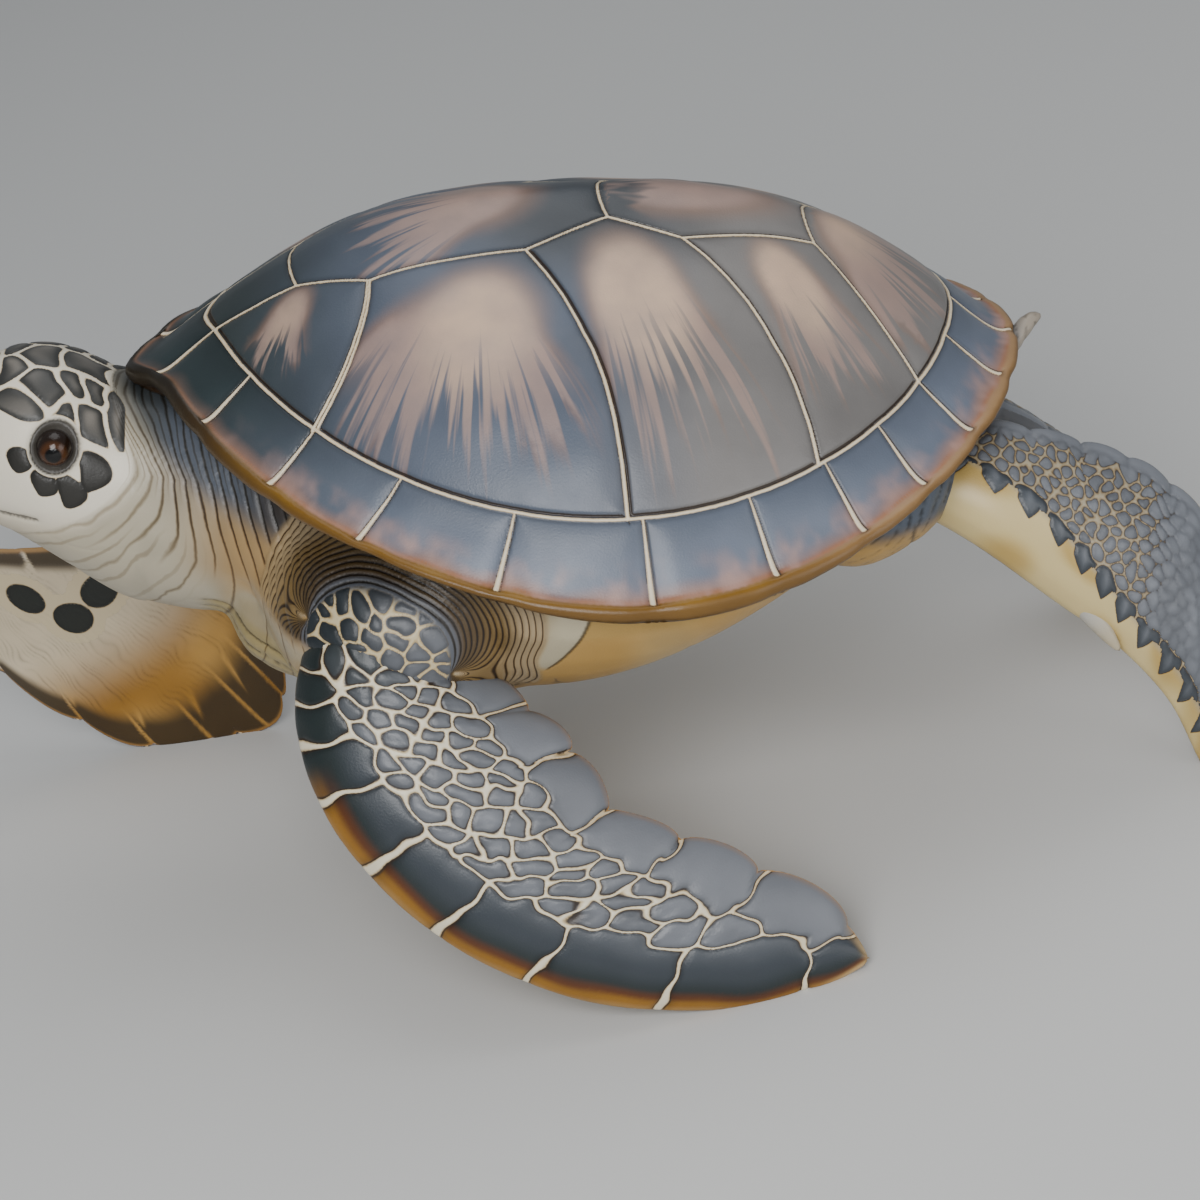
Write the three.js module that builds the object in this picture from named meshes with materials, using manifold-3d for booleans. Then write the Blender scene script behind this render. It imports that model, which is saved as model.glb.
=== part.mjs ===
// Sea turtle statue, cast in one piece and painted.
// Millimetres, +Z up. The head points to -X, the tail to +X and the turtle's left side to -Y.
// It is shaped in the shell's own frame: origin in the middle of the rim's lowest level.
// A group then tips the head up and sets the statue down on the floor at z = 0.
import * as THREE from 'three';
import { ParametricGeometry } from 'three/addons/geometries/ParametricGeometry.js';
import { mergeVertices } from 'three/addons/utils/BufferGeometryUtils.js';
import Module from 'manifold-3d';

const wasm = await Module();
wasm.setup();

// ---- Driving dimensions ----
const shellLength = 600;
const shellHalfWidth = 255;
const pitchDegrees = 12;
const floorLevel = -304; // below the shell frame's origin, measured along the tipped upright
const rimRise = 74; // how far the rim climbs from its middle to either end
const domeHeight = 150;
const endFullness = 0.22; // how much fuller the dome is towards its ends
const keelHeight = 37; // how far the roof along the middle of the back stands up
const lipThickness = 20;
const lipBulge = 0.03; // how far the lip rounds out past the rim, as a share of the way out
const rimNotch = 0.014; // how far the rim dips in at each seam, as a share of the way out
const brimReach = 0.06; // how far the brim stands out over the neck, as a share of the way out
const brimDrop = 260; // how steeply the brim over the neck turns down
const bellyDepth = 171;
const bellyRise = 166; // how far the belly climbs towards the tail
const grooveRadius = 5;
const grooveSink = 1.5;
const ringGrooveDepth = 5;
const eyeRadius = 15;
const clawRadius = 12;

const marginalsPerSide = 12;

// ---- Small helpers ----
const lerp = THREE.MathUtils.lerp;
const clamp = THREE.MathUtils.clamp;
const smooth = (x, low, high) => THREE.MathUtils.smoothstep(x, low, high);
const vec = (x, y, z) => new THREE.Vector3(x, y, z);

function curveThrough(points) {
  return new THREE.CatmullRomCurve3(points.map((p) => vec(...p)), false, 'centripetal');
}

// A value that runs smoothly through evenly spaced samples as t goes from 0 to 1.
function sample(values, t) {
  const place = clamp(t, 0, 1) * (values.length - 1);
  const i = Math.min(Math.floor(place), values.length - 2);
  const before = values[Math.max(i - 1, 0)];
  const after = values[Math.min(i + 2, values.length - 1)];
  const f = place - i;
  const slopeIn = (values[i + 1] - before) / 2;
  const slopeOut = (after - values[i]) / 2;
  const a = 2 * values[i] - 2 * values[i + 1] + slopeIn + slopeOut;
  const b = -3 * values[i] + 3 * values[i + 1] - 2 * slopeIn - slopeOut;
  return ((a * f + b) * f + slopeIn) * f + values[i];
}

function weld(geometry) {
  const bare = geometry.index ? geometry.toNonIndexed() : geometry.clone();
  bare.deleteAttribute('normal');
  bare.deleteAttribute('uv');
  const merged = mergeVertices(bare, 1e-3);
  const index = merged.index.array;
  const kept = [];
  for (let i = 0; i < index.length; i += 3) {
    const [a, b, c] = [index[i], index[i + 1], index[i + 2]];
    if (a !== b && b !== c && c !== a) {
      kept.push(a, b, c);
    }
  }
  merged.setIndex(kept);
  return merged;
}

function signedVolume(geometry) {
  const p = geometry.attributes.position;
  const index = geometry.index.array;
  const [a, b, c] = [vec(), vec(), vec()];
  let volume = 0;
  for (let i = 0; i < index.length; i += 3) {
    a.fromBufferAttribute(p, index[i]);
    b.fromBufferAttribute(p, index[i + 1]);
    c.fromBufferAttribute(p, index[i + 2]);
    volume += a.dot(b.cross(c)) / 6;
  }
  return volume;
}

function solid(geometry) {
  const welded = weld(geometry);
  const index = welded.index.array;
  if (signedVolume(welded) < 0) {
    for (let i = 0; i < index.length; i += 3) {
      [index[i], index[i + 1]] = [index[i + 1], index[i]];
    }
  }
  const vertProperties = new Float32Array(welded.attributes.position.array);
  const triVerts = new Uint32Array(index);
  return new wasm.Manifold(new wasm.Mesh({ numProp: 3, vertProperties, triVerts }));
}

// ---- Shell: outline, rim and dome ----
// The outline runs from the nuchal notch at 0 to the tail notch at 1.
const frontPower = 0.63;
const rearPower = 0.555;
const widestAt = frontPower / (frontPower + rearPower);
const domeCentre = 0.477;

function outlineHalfWidth(along) {
  const x = clamp(along, 0, 1);
  const front = Math.pow(x / widestAt, frontPower);
  const rear = Math.pow((1 - x) / (1 - widestAt), rearPower);
  return shellHalfWidth * front * rear;
}

function rimHeight(along) {
  const fromMiddle = 2 * along - 1;
  return rimRise * fromMiddle * fromMiddle;
}

// A point of the rim: t runs from 0 at the nuchal notch to 1 at the tail notch.
function rimPoint(t, side) {
  const along = 0.5 - 0.5 * Math.cos(Math.PI * t);
  return { along, y: side * outlineHalfWidth(along) };
}

// Share of the way out from the dome's centre to the rim, for a place in plan.
function outwardShare(along, y) {
  let inside = 1.4;
  let outside = 1e-4;
  for (let i = 0; i < 36; i += 1) {
    const middle = (inside + outside) / 2;
    const at = domeCentre + (along - domeCentre) / middle;
    const within = at > 0 && at < 1 && Math.abs(y) / middle < outlineHalfWidth(at);
    if (within) {
      inside = middle;
    } else {
      outside = middle;
    }
  }
  return inside;
}

// The keel: a raised roof along the middle of the back, highest just behind the dome's centre.
function keelLevel(along, y) {
  const fromHighest = (along - 0.542) / 0.433;
  const fromMidline = (Math.hypot(y, 10) - 10) / 110;
  const lengthwise = Math.pow(Math.max(1 - fromHighest * fromHighest, 0), 1.5);
  return keelHeight * lengthwise * Math.pow(Math.max(1 - fromMidline, 0), 1.25);
}

function domeLevel(along, share, y) {
  const fromMiddle = 2 * along - 1;
  const fullness = 1 + endFullness * fromMiddle * fromMiddle;
  const crown = Math.pow(Math.max(1 - Math.pow(share, 3.4), 0), 1.2);
  return rimHeight(along) * share * share + domeHeight * fullness * crown + keelLevel(along, y);
}

function shellPoint(along, y) {
  const share = outwardShare(along, y);
  return vec((along - 0.5) * shellLength, y, domeLevel(along, share, y));
}

// Where the seams between the marginal plates reach the rim, from front to rear.
const marginalSeams = [0.06, 0.155, 0.248, 0.338, 0.436, 0.54, 0.631, 0.706, 0.77, 0.839, 0.917, 1];
const ringShare = 0.872;

function ringPlace(t, side) {
  const rim = rimPoint(t, side);
  return [domeCentre + ringShare * (rim.along - domeCentre), ringShare * rim.y];
}

// The underside: a rounded lip, the shelf under the marginal plates, the bridge and the belly.
function bellyLevel(along) {
  const rise = Math.max(0, (along - 0.25) / 0.65);
  return -bellyDepth + bellyRise * rise * rise;
}

function undersideLevel(along, share) {
  const shelf = rimHeight(along) - lipThickness - 60 * (1 - share);
  const bowl = Math.pow(Math.max(1 - Math.pow(share / 0.88, 2.6), 0), 0.62);
  return lerp(shelf, bellyLevel(along), bowl);
}

// Radial stations from the crown to the lip, with a valley where the dome meets the marginal plates.
const topStations = [0, 0.26, 0.45, 0.6, 0.73, ringShare - 0.022, ringShare, ringShare + 0.022, 1];
const lipSteps = 3;
const underStations = [0.9, 0.82, 0.7, 0.45, 0];

function shellBody() {
  const around = 56;
  const top = topStations.length - 1;
  const rings = top + lipSteps + underStations.length;
  const place = (u, v, target) => {
    const turn = u * 2;
    const side = turn < 1 ? -1 : 1;
    const t = turn < 1 ? turn : 2 - turn;
    const rim = rimPoint(t, side);
    const ring = Math.round(v * rings);
    const nearSeam = Math.min(...marginalSeams.map((seam) => Math.abs(seam - t)));
    const notch = 1 - rimNotch * (1 - smooth(nearSeam, 0, 0.02));
    const brim = 1 + brimReach * (1 - smooth(t, 0, 0.1));
    let share;
    let z;
    if (ring <= top) {
      share = topStations[ring];
      z = domeLevel(domeCentre + share * (rim.along - domeCentre), share, share * rim.y);
      z -= ring === top - 2 ? ringGrooveDepth : 0;
    } else if (ring <= top + lipSteps) {
      const turnDown = ((ring - top) / lipSteps) * Math.PI;
      share = 1 + lipBulge * Math.sin(turnDown);
      z = rimHeight(rim.along) + (lipThickness / 2) * (Math.cos(turnDown) - 1);
    } else {
      share = underStations[ring - top - lipSteps - 1];
      z = undersideLevel(domeCentre + share * (rim.along - domeCentre), share);
    }
    z -= brimDrop * (brim - 1) * smooth(share, 0.8, 1);
    share *= lerp(1, notch * brim, smooth(share, 0.8, 1));
    const along = domeCentre + share * (rim.along - domeCentre);
    target.set((along - 0.5) * shellLength, share * rim.y, z);
  };
  return solid(new ParametricGeometry(place, around, rings));
}

// ---- Grooves between the plates ----
function tube(path, radius, steps) {
  const section = new THREE.Shape();
  const sides = 5;
  for (let i = 0; i < sides; i += 1) {
    const angle = (i / sides) * 2 * Math.PI;
    const x = radius * Math.cos(angle);
    const y = radius * Math.sin(angle);
    if (i === 0) {
      section.moveTo(x, y);
    } else {
      section.lineTo(x, y);
    }
  }
  section.closePath();
  return solid(new THREE.ExtrudeGeometry(section, { extrudePath: path, steps, bevelEnabled: false }));
}

// A groove over the dome, straight in plan between two places and bowed sideways in its middle.
function plateGroove(from, to, bow = 0, steps = 3) {
  const points = [];
  const dx = (to[0] - from[0]) * shellLength;
  const dy = to[1] - from[1];
  const length = Math.hypot(dx, dy);
  for (let i = 0; i <= steps; i += 1) {
    const f = i / steps;
    const swell = 4 * f * (1 - f) * bow;
    const along = lerp(from[0], to[0], f) + (-dy / length) * swell / shellLength;
    const y = lerp(from[1], to[1], f) + (dx / length) * swell;
    const point = shellPoint(along, y);
    point.z += grooveSink;
    points.push(point);
  }
  return tube(new THREE.CatmullRomCurve3(points, false, 'centripetal'), grooveRadius, steps);
}

// Corners of the vertebral plates on one side: places in plan, y as a distance from the midline.
const vertebralCorners = [
  [0.165, 34],
  [0.25, 58],
  [0.43, 55],
  [0.525, 30],
  [0.61, 47],
  [0.765, 31],
];

function seams() {
  const cuts = [];
  for (const side of [-1, 1]) {
    const corner = (i) => [vertebralCorners[i][0], side * vertebralCorners[i][1]];
    cuts.push(plateGroove(ringPlace(0.06, side), corner(0), 0, 2));
    for (let i = 0; i < 5; i += 1) {
      cuts.push(plateGroove(corner(i), corner(i + 1), 0, 2));
    }
    cuts.push(plateGroove(corner(5), ringPlace(0.839, side), 0, 2));
    cuts.push(plateGroove(ringPlace(0.248, side), corner(1), side * 10));
    cuts.push(plateGroove(ringPlace(0.528, side), corner(2), side * 12));
    cuts.push(plateGroove(ringPlace(0.7, side), corner(4), side * 12));
    for (const t of marginalSeams.slice(0, marginalsPerSide - 1)) {
      const rim = rimPoint(t, side);
      cuts.push(plateGroove(ringPlace(t, side), [rim.along, rim.y], 0, 1));
    }
  }
  for (const i of [0, 3, 5]) {
    const [along, y] = vertebralCorners[i];
    cuts.push(plateGroove([along, -y], [along, y], 6, 2));
  }
  cuts.push(plateGroove(ringPlace(1, 1), [1, 0], 0, 1));
  return cuts;
}

// ---- Flippers ----
// A blade between a leading and a trailing edge, with rounded plates along both.
function blade(shape, along, around) {
  const lead = curveThrough(shape.lead);
  const trail = curveThrough(shape.trail);
  const place = (u, v, target) => {
    const step = 0.002;
    const l = lead.getPoint(u);
    const r = trail.getPoint(u);
    const forward = lead.getPoint(Math.min(u + step, 1)).add(trail.getPoint(Math.min(u + step, 1)));
    forward.sub(lead.getPoint(Math.max(u - step, 0))).sub(trail.getPoint(Math.max(u - step, 0)));
    const chord = r.clone().sub(l);
    const up = chord.clone().cross(forward).normalize().multiplyScalar(shape.face);
    const turn = v * 2 * Math.PI;
    const across = clamp((1 - Math.cos(turn)) / 2, 0, 1);
    const top = Math.sin(turn) >= 0 ? 1 : -1;
    const profile = 2.1 * Math.sqrt(across) * Math.pow(1 - across, 0.75);
    const edgeFade = sample(shape.fade, u);
    let half = (sample(shape.thickness, u) / 2) * profile * edgeFade;
    const camber = sample(shape.camber, u) * 4 * across * (1 - across);
    const plate = u * shape.plates;
    const bulge = Math.sqrt(Math.abs(Math.sin(Math.PI * plate)));
    const scallop = shape.scallop * (bulge - 0.6) * smooth(across, 0.55, 1) * edgeFade;
    const inRows = 1 - smooth(across, 0.24, 0.32) * (1 - smooth(across, 0.66, 0.74));
    const sunk = shape.carve * inRows * (1 - Math.min(bulge * 1.5, 1));
    half -= Math.min(top > 0 ? sunk : 0, half * 0.6);
    const width = Math.max(chord.length(), 1);
    target.copy(l).addScaledVector(chord, across * (1 + scallop / width));
    target.addScaledVector(up, camber + top * half);
  };
  return solid(new ParametricGeometry(place, along, around));
}

// Left front flipper, swept down and back.
const leftFront = {
  lead: [
    [-150, -110, -40],
    [-194, -172, -66],
    [-206, -206, -112],
    [-184, -248, -172],
    [-116, -284, -240],
    [-20, -306, -283],
    [74, -308, -295],
    [146, -302, -286],
    [192, -294, -264],
  ],
  trail: [
    [-60, -110, -50],
    [-96, -176, -84],
    [-60, -192, -100],
    [-14, -222, -132],
    [14, -246, -166],
    [70, -256, -187],
    [132, -268, -212],
    [176, -280, -240],
    [192, -294, -264],
  ],
  thickness: [60, 54, 44, 36, 32, 28, 22, 14, 6],
  camber: [10, 14, 16, 14, 12, 9, 6, 3, 0],
  fade: [0, 1, 1, 1, 1, 1, 1, 1, 0],
  plates: 10,
  scallop: 9,
  carve: 2.5,
  face: -1,
};

// Right front flipper, reaching forward and down with its underside turned inward.
const rightFront = {
  lead: [
    [-140, 110, -40],
    [-214, 158, -70],
    [-270, 166, -124],
    [-330, 172, -168],
    [-400, 182, -196],
    [-470, 196, -206],
    [-530, 208, -212],
    [-566, 214, -222],
  ],
  trail: [
    [-76, 110, -60],
    [-150, 150, -158],
    [-226, 150, -266],
    [-240, 166, -350],
    [-330, 178, -386],
    [-414, 184, -352],
    [-500, 198, -282],
    [-566, 214, -222],
  ],
  thickness: [60, 54, 42, 36, 32, 26, 16, 6],
  camber: [8, 10, 12, 12, 10, 8, 4, 0],
  fade: [0, 1, 1, 1, 1, 1, 1, 0],
  plates: 9,
  scallop: 9,
  carve: 2.5,
  face: 1,
};

// Left rear flipper, trailing level behind the shell and then turned down to the floor.
const leftRear = {
  lead: [
    [190, -60, -20],
    [262, -116, -36],
    [328, -134, -80],
    [370, -138, -112],
    [410, -138, -158],
    [436, -132, -210],
    [448, -126, -234],
  ],
  trail: [
    [190, -40, 10],
    [270, -60, 30],
    [340, -70, 20],
    [400, -76, -4],
    [452, -84, -62],
    [466, -104, -148],
    [448, -126, -234],
  ],
  thickness: [50, 50, 44, 36, 28, 20, 8],
  camber: [4, 6, 8, 8, 6, 3, 0],
  fade: [0, 1, 1, 1, 1, 1, 0],
  plates: 8,
  scallop: 5,
  carve: 2,
  face: -1,
};

// Right rear flipper, held lower.
const rightRear = {
  lead: [
    [190, 60, -30],
    [256, 108, -60],
    [316, 124, -112],
    [360, 130, -158],
    [396, 132, -196],
    [424, 128, -222],
    [440, 122, -234],
  ],
  trail: [
    [190, 40, 0],
    [270, 62, -10],
    [344, 72, -48],
    [404, 78, -96],
    [450, 84, -146],
    [460, 100, -196],
    [440, 122, -234],
  ],
  thickness: [50, 50, 44, 36, 28, 20, 8],
  camber: [4, 6, 8, 8, 6, 3, 0],
  fade: [0, 1, 1, 1, 1, 1, 0],
  plates: 8,
  scallop: 5,
  carve: 2,
  face: 1,
};

// ---- Neck, head, shoulders, tail ----
// A limb with oval sections about a curved axis, closed at both ends.
function oval(shape, along, around) {
  const axis = curveThrough(shape.axis);
  const place = (u, v, target) => {
    const centre = axis.getPoint(u);
    const turn = v * 2 * Math.PI;
    const wrinkled = smooth(u, 0.15, 0.2) * (1 - smooth(u, 0.5, 0.58));
    const fold = 1 + (shape.fold ?? 0) * wrinkled * Math.sin(u * (shape.folds ?? 0) * 2 * Math.PI);
    const wide = sample(shape.wide, u) * fold;
    const tall = (Math.sin(turn) > 0 ? sample(shape.above, u) : sample(shape.below, u)) * fold;
    target.set(centre.x, centre.y + wide * Math.cos(turn), centre.z + tall * Math.sin(turn));
  };
  return solid(new ParametricGeometry(place, along, around));
}

// Neck and head in one, from inside the shell to the tip of the beak.
const headAndNeck = {
  axis: [
    [-120, 0, -50],
    [-200, 0, -44],
    [-262, 0, -42],
    [-300, 0, -40],
    [-330, 0, -34],
    [-358, 0, -22],
    [-386, 0, -12],
    [-414, 0, -8],
    [-440, 0, -12],
    [-462, 0, -18],
    [-478, 0, -26],
  ],
  wide: [0, 108, 92, 80, 74, 72, 70, 60, 46, 30, 0],
  above: [0, 84, 88, 82, 76, 80, 76, 68, 54, 36, 0],
  below: [0, 92, 92, 91, 91, 84, 71, 58, 44, 28, 0],
  fold: 0.012,
  folds: 24,
};

const chest = {
  axis: [
    [-272, 0, -112],
    [-246, 0, -112],
    [-190, 0, -110],
    [-120, 0, -106],
    [-30, 0, -100],
    [70, 0, -90],
  ],
  wide: [0, 104, 150, 172, 150, 0],
  above: [0, 40, 80, 90, 80, 0],
  below: [0, 34, 54, 62, 60, 0],
};

function shoulder(side) {
  return {
    axis: [
      [-238, side * 104, -70],
      [-205, side * 118, -70],
      [-140, side * 134, -68],
      [-60, side * 130, -70],
      [0, side * 116, -70],
    ],
    wide: [0, 62, 84, 66, 0],
    above: [0, 48, 62, 56, 0],
    below: [0, 58, 74, 58, 0],
  };
}

function hip(side) {
  return {
    axis: [[120, side * 70, -10], [170, side * 80, -10], [230, side * 84, 0], [280, side * 84, 6]],
    wide: [0, 60, 52, 0],
    above: [0, 44, 40, 0],
    below: [0, 56, 44, 0],
  };
}

const tail = {
  axis: [[210, 0, 30], [258, 0, 42], [294, 0, 58], [320, 0, 72]],
  wide: [0, 34, 16, 0],
  above: [0, 24, 12, 0],
  below: [0, 26, 12, 0],
};

// A short claw on the leading edge of a rear flipper.
function claw(root, tip) {
  const along = vec(...tip).sub(vec(...root));
  const cone = new THREE.ConeGeometry(clawRadius, along.length(), 8);
  cone.translate(0, along.length() / 2, 0);
  cone.applyQuaternion(new THREE.Quaternion().setFromUnitVectors(vec(0, 1, 0), along.normalize()));
  cone.translate(...root);
  return solid(cone);
}

function eye(side) {
  const ball = new THREE.SphereGeometry(eyeRadius, 10, 8);
  ball.translate(-368, side * 60, 20);
  return solid(ball);
}

// ---- Floor ----
const pitch = THREE.MathUtils.degToRad(pitchDegrees);

function floorBlock() {
  const size = 3000;
  const block = new THREE.BoxGeometry(size, size, size);
  block.translate(0, 0, floorLevel - size / 2);
  block.rotateY(-pitch);
  return solid(block);
}

function statue() {
  const pieces = [
    oval(chest, 8, 14),
    oval(headAndNeck, 34, 16),
    oval(tail, 6, 10),
    blade(leftFront, 40, 14),
    blade(rightFront, 32, 14),
    blade(leftRear, 22, 10),
    blade(rightRear, 22, 10),
    claw([340, -128, -72], [366, -144, -104]),
    claw([338, 124, -130], [360, 140, -166]),
    eye(-1),
    eye(1),
  ];
  for (const side of [-1, 1]) {
    pieces.push(oval(shoulder(side), 8, 14));
    pieces.push(oval(hip(side), 6, 12));
  }
  let body = shellBody();
  for (const cut of seams()) {
    body = body.subtract(cut);
  }
  for (const piece of pieces) {
    body = body.add(piece);
  }
  return body.subtract(floorBlock());
}

function toGeometry(manifold) {
  const mesh = manifold.getMesh();
  const geometry = new THREE.BufferGeometry();
  geometry.setAttribute('position', new THREE.BufferAttribute(mesh.vertProperties, 3));
  geometry.setIndex(new THREE.BufferAttribute(mesh.triVerts, 1));
  geometry.computeVertexNormals();
  return geometry;
}

const paint = new THREE.MeshStandardMaterial({ color: 0x55636d, roughness: 0.4, metalness: 0 });
const turtle = new THREE.Mesh(toGeometry(statue()), paint);
turtle.name = 'turtle';

// Tipped up, set on the floor and centred over the origin.
const standing = new THREE.Group();
standing.rotation.y = pitch;
standing.position.z = -floorLevel;
standing.add(turtle);
const middle = new THREE.Box3().setFromObject(standing, true).getCenter(vec());
standing.position.x = -middle.x;
standing.position.y = -middle.y;

const part = new THREE.Group();
part.add(standing);

export default part;
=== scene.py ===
import math

import bmesh
import bpy
import numpy as np
from mathutils import Matrix, Vector


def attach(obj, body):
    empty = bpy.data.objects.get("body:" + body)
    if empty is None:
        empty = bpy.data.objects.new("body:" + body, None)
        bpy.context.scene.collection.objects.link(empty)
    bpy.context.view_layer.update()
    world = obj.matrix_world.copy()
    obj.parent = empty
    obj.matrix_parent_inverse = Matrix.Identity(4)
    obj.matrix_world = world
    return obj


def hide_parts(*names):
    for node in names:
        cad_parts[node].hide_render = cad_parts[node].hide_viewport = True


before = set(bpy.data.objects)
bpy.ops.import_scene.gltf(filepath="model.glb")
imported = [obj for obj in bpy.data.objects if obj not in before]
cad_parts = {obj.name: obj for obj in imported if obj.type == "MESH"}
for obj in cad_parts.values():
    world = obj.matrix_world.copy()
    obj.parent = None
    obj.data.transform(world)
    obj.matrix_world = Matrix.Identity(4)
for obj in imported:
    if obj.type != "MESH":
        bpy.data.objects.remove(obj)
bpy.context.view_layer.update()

# A sea turtle statue, cast in resin and painted by hand.
# Shapes are worked out in millimetres in the shell's own frame: the origin is in the middle of the
# rim's lowest level, the head points to -X and the turtle's left side to -Y.
# stood() then tips the head up and sets the statue on the floor, in metres.
PITCH = math.radians(12)
STAND = np.array([83.45, 25.93, 304.0])
FLOOR_CUT = 0.0002  # the feet are cut flat this far above the floor, in metres
NO_LINE = 30.0  # a distance to a painted line, in millimetres, that means there is none near


def stood(places):
    c, s = math.cos(PITCH), math.sin(PITCH)
    x, y, z = places.T
    return (np.column_stack([x * c + z * s, y, z * c - x * s]) + STAND) / 1000


# ---- Curves, waves and colours ----
def smooth(x, low, high):
    """0 up to low, 1 from high on and smooth between; low may be the larger."""
    t = np.clip((x - low) / (high - low), 0, 1)
    return t * t * (3 - 2 * t)


def mix(a, b, t):
    return a + (b - a) * t


def bell(x, width):
    return np.exp(-np.square(x / width))


def sample(values, t):
    """A value that runs smoothly through evenly spaced samples as t goes from 0 to 1."""
    v = np.asarray(values, float)
    place = np.clip(t, 0, 1) * (len(v) - 1)
    i = np.minimum(place.astype(int), len(v) - 2)
    f = place - i
    before, start, end, after = v[np.maximum(i - 1, 0)], v[i], v[i + 1], v[np.minimum(i + 2, len(v) - 1)]
    slope_in, slope_out = (end - before) / 2, (after - start) / 2
    a = 2 * start - 2 * end + slope_in + slope_out
    b = -3 * start + 3 * end - 2 * slope_in - slope_out
    return ((a * f + b) * f + slope_in) * f + start


def curve(points):
    """A smooth curve through points, read at any t from 0 to 1."""
    p = np.array(points, float)
    n = len(p)
    q = np.vstack([2 * p[0] - p[1], p, 2 * p[-1] - p[-2]])

    def at(t):
        place = np.clip(t, 0, 1) * (n - 1)
        i = np.minimum(place.astype(int), n - 2)
        w = (place - i)[:, None]
        p0, p1, p2, p3 = (q[i + k] for k in range(4))
        d0, d1, d2 = (
            np.sqrt(np.linalg.norm(b - a, axis=1))[:, None] for a, b in ((p0, p1), (p1, p2), (p2, p3))
        )
        t1 = ((p1 - p0) / d0 - (p2 - p0) / (d0 + d1) + (p2 - p1) / d1) * d1
        t2 = ((p2 - p1) / d1 - (p3 - p1) / (d1 + d2) + (p3 - p2) / d2) * d1
        c2 = -3 * p1 + 3 * p2 - 2 * t1 - t2
        c3 = 2 * p1 - 2 * p2 + t1 + t2
        return p1 + t1 * w + c2 * w * w + c3 * w**3

    return at


def ripple(p, size, seed, waves=7):
    """Soft random relief between about -1 and 1 over places p, with humps of about this size."""
    rng = np.random.default_rng(seed)
    total = np.zeros(len(p))
    for _ in range(waves):
        way = rng.normal(size=p.shape[1])
        way *= rng.uniform(0.7, 1.5) * math.pi / (size * np.linalg.norm(way))
        total += np.sin(p @ way + rng.uniform(0, 2 * math.pi))
    return total / math.sqrt(waves)


def ripples(p, size, seeds):
    return np.column_stack([ripple(p, size, seed) for seed in seeds])


def line_at(phase):
    """How far each place is from the nearest whole turn of a count of lines."""
    return np.abs(phase - np.round(phase))


def rgb(r, g, b):
    """A paint colour given as everyday 0 to 255 values, in linear light."""
    c = np.array([r, g, b]) / 255
    return np.where(c <= 0.04045, c / 12.92, ((c + 0.055) / 1.055) ** 2.4)


def coats(under, *layers):
    """Paint laid on in coats: each has a colour, or a number that shades what is under it, and its share."""
    for colour, share in layers:
        colour = under * colour if np.isscalar(colour) else colour
        under = under + (colour - under) * np.asarray(share, float)[:, None]
    return under


SLATE = rgb(104, 115, 130)
STEEL = rgb(108, 111, 117)
NIGHT = rgb(52, 58, 64)
BLACK = rgb(34, 42, 42)
GOLD = rgb(150, 106, 36)
HONEY = rgb(206, 164, 92)
TAN = rgb(204, 173, 148)
RUST = rgb(140, 108, 90)
UMBER = rgb(58, 40, 22)
CREAM = rgb(222, 212, 186)
IVORY = rgb(212, 204, 186)
VARNISH = {"Specular IOR Level": 0.4, "Coat Weight": 0.06, "Coat Roughness": 0.22}


# ---- Meshes ----
def unit(vectors):
    return vectors / np.maximum(np.linalg.norm(vectors, axis=-1, keepdims=True), 1e-12)


def unit_normals(p, tri):
    face = np.cross(p[tri[:, 1]] - p[tri[:, 0]], p[tri[:, 2]] - p[tri[:, 0]])
    normal = np.zeros_like(p)
    for k in range(3):
        np.add.at(normal, tri[:, k], face)
    return unit(normal)


def sides(tri):
    return np.vstack([tri[:, [0, 1]], tri[:, [1, 2]], tri[:, [2, 0]]])


def split_edges(tri, wanted, count):
    """Splits the wanted edges, given as sorted pairs, at their middles. Returns the triangles and pairs."""
    edges = np.sort(np.stack([tri, np.roll(tri, -1, axis=1)], -1), axis=2)
    key = edges[..., 0].astype(np.int64) * count + edges[..., 1]
    pairs = np.unique(wanted[:, 0].astype(np.int64) * count + wanted[:, 1])
    spot = np.minimum(np.searchsorted(pairs, key), len(pairs) - 1)
    middle = np.where(pairs[spot] == key, spot + count, -1)
    cuts = (middle >= 0).sum(1)
    out = [tri[cuts == 0]]

    def turned(rows, first):
        """The corners and middles of the rows, turned so that column first comes first."""
        order = (first[:, None] + np.arange(3)) % 3
        return [c for part in (tri, middle) for c in np.take_along_axis(part[rows], order, 1).T]

    def keep(*corners):
        out.append(np.column_stack(corners))

    rows = np.flatnonzero(cuts == 1)
    a, b, c, ab, _, _ = turned(rows, (middle[rows] >= 0).argmax(1))
    keep(a, ab, c)
    keep(ab, b, c)
    rows = np.flatnonzero(cuts == 2)
    a, b, c, ab, bc, _ = turned(rows, ((middle[rows] < 0).argmax(1) + 1) % 3)
    keep(ab, b, bc)
    keep(a, ab, bc)
    keep(a, bc, c)
    rows = np.flatnonzero(cuts == 3)
    a, b, c, ab, bc, ca = turned(rows, np.zeros(len(rows), int))
    keep(a, ab, ca)
    keep(ab, b, bc)
    keep(ca, bc, c)
    keep(ab, bc, ca)
    return np.vstack(out), np.column_stack([pairs // count, pairs % count])


def long_edges(p, tri, size):
    """The edges that are more than a third too long for the size of face wanted at either end."""
    edges = np.sort(sides(tri), axis=1)
    edges = edges[np.unique(edges[:, 0].astype(np.int64) * len(p) + edges[:, 1], return_index=True)[1]]
    a, b = edges.T
    return edges[np.linalg.norm(p[a] - p[b], axis=1) > 1.35 * np.minimum(size[a], size[b])]


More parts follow.
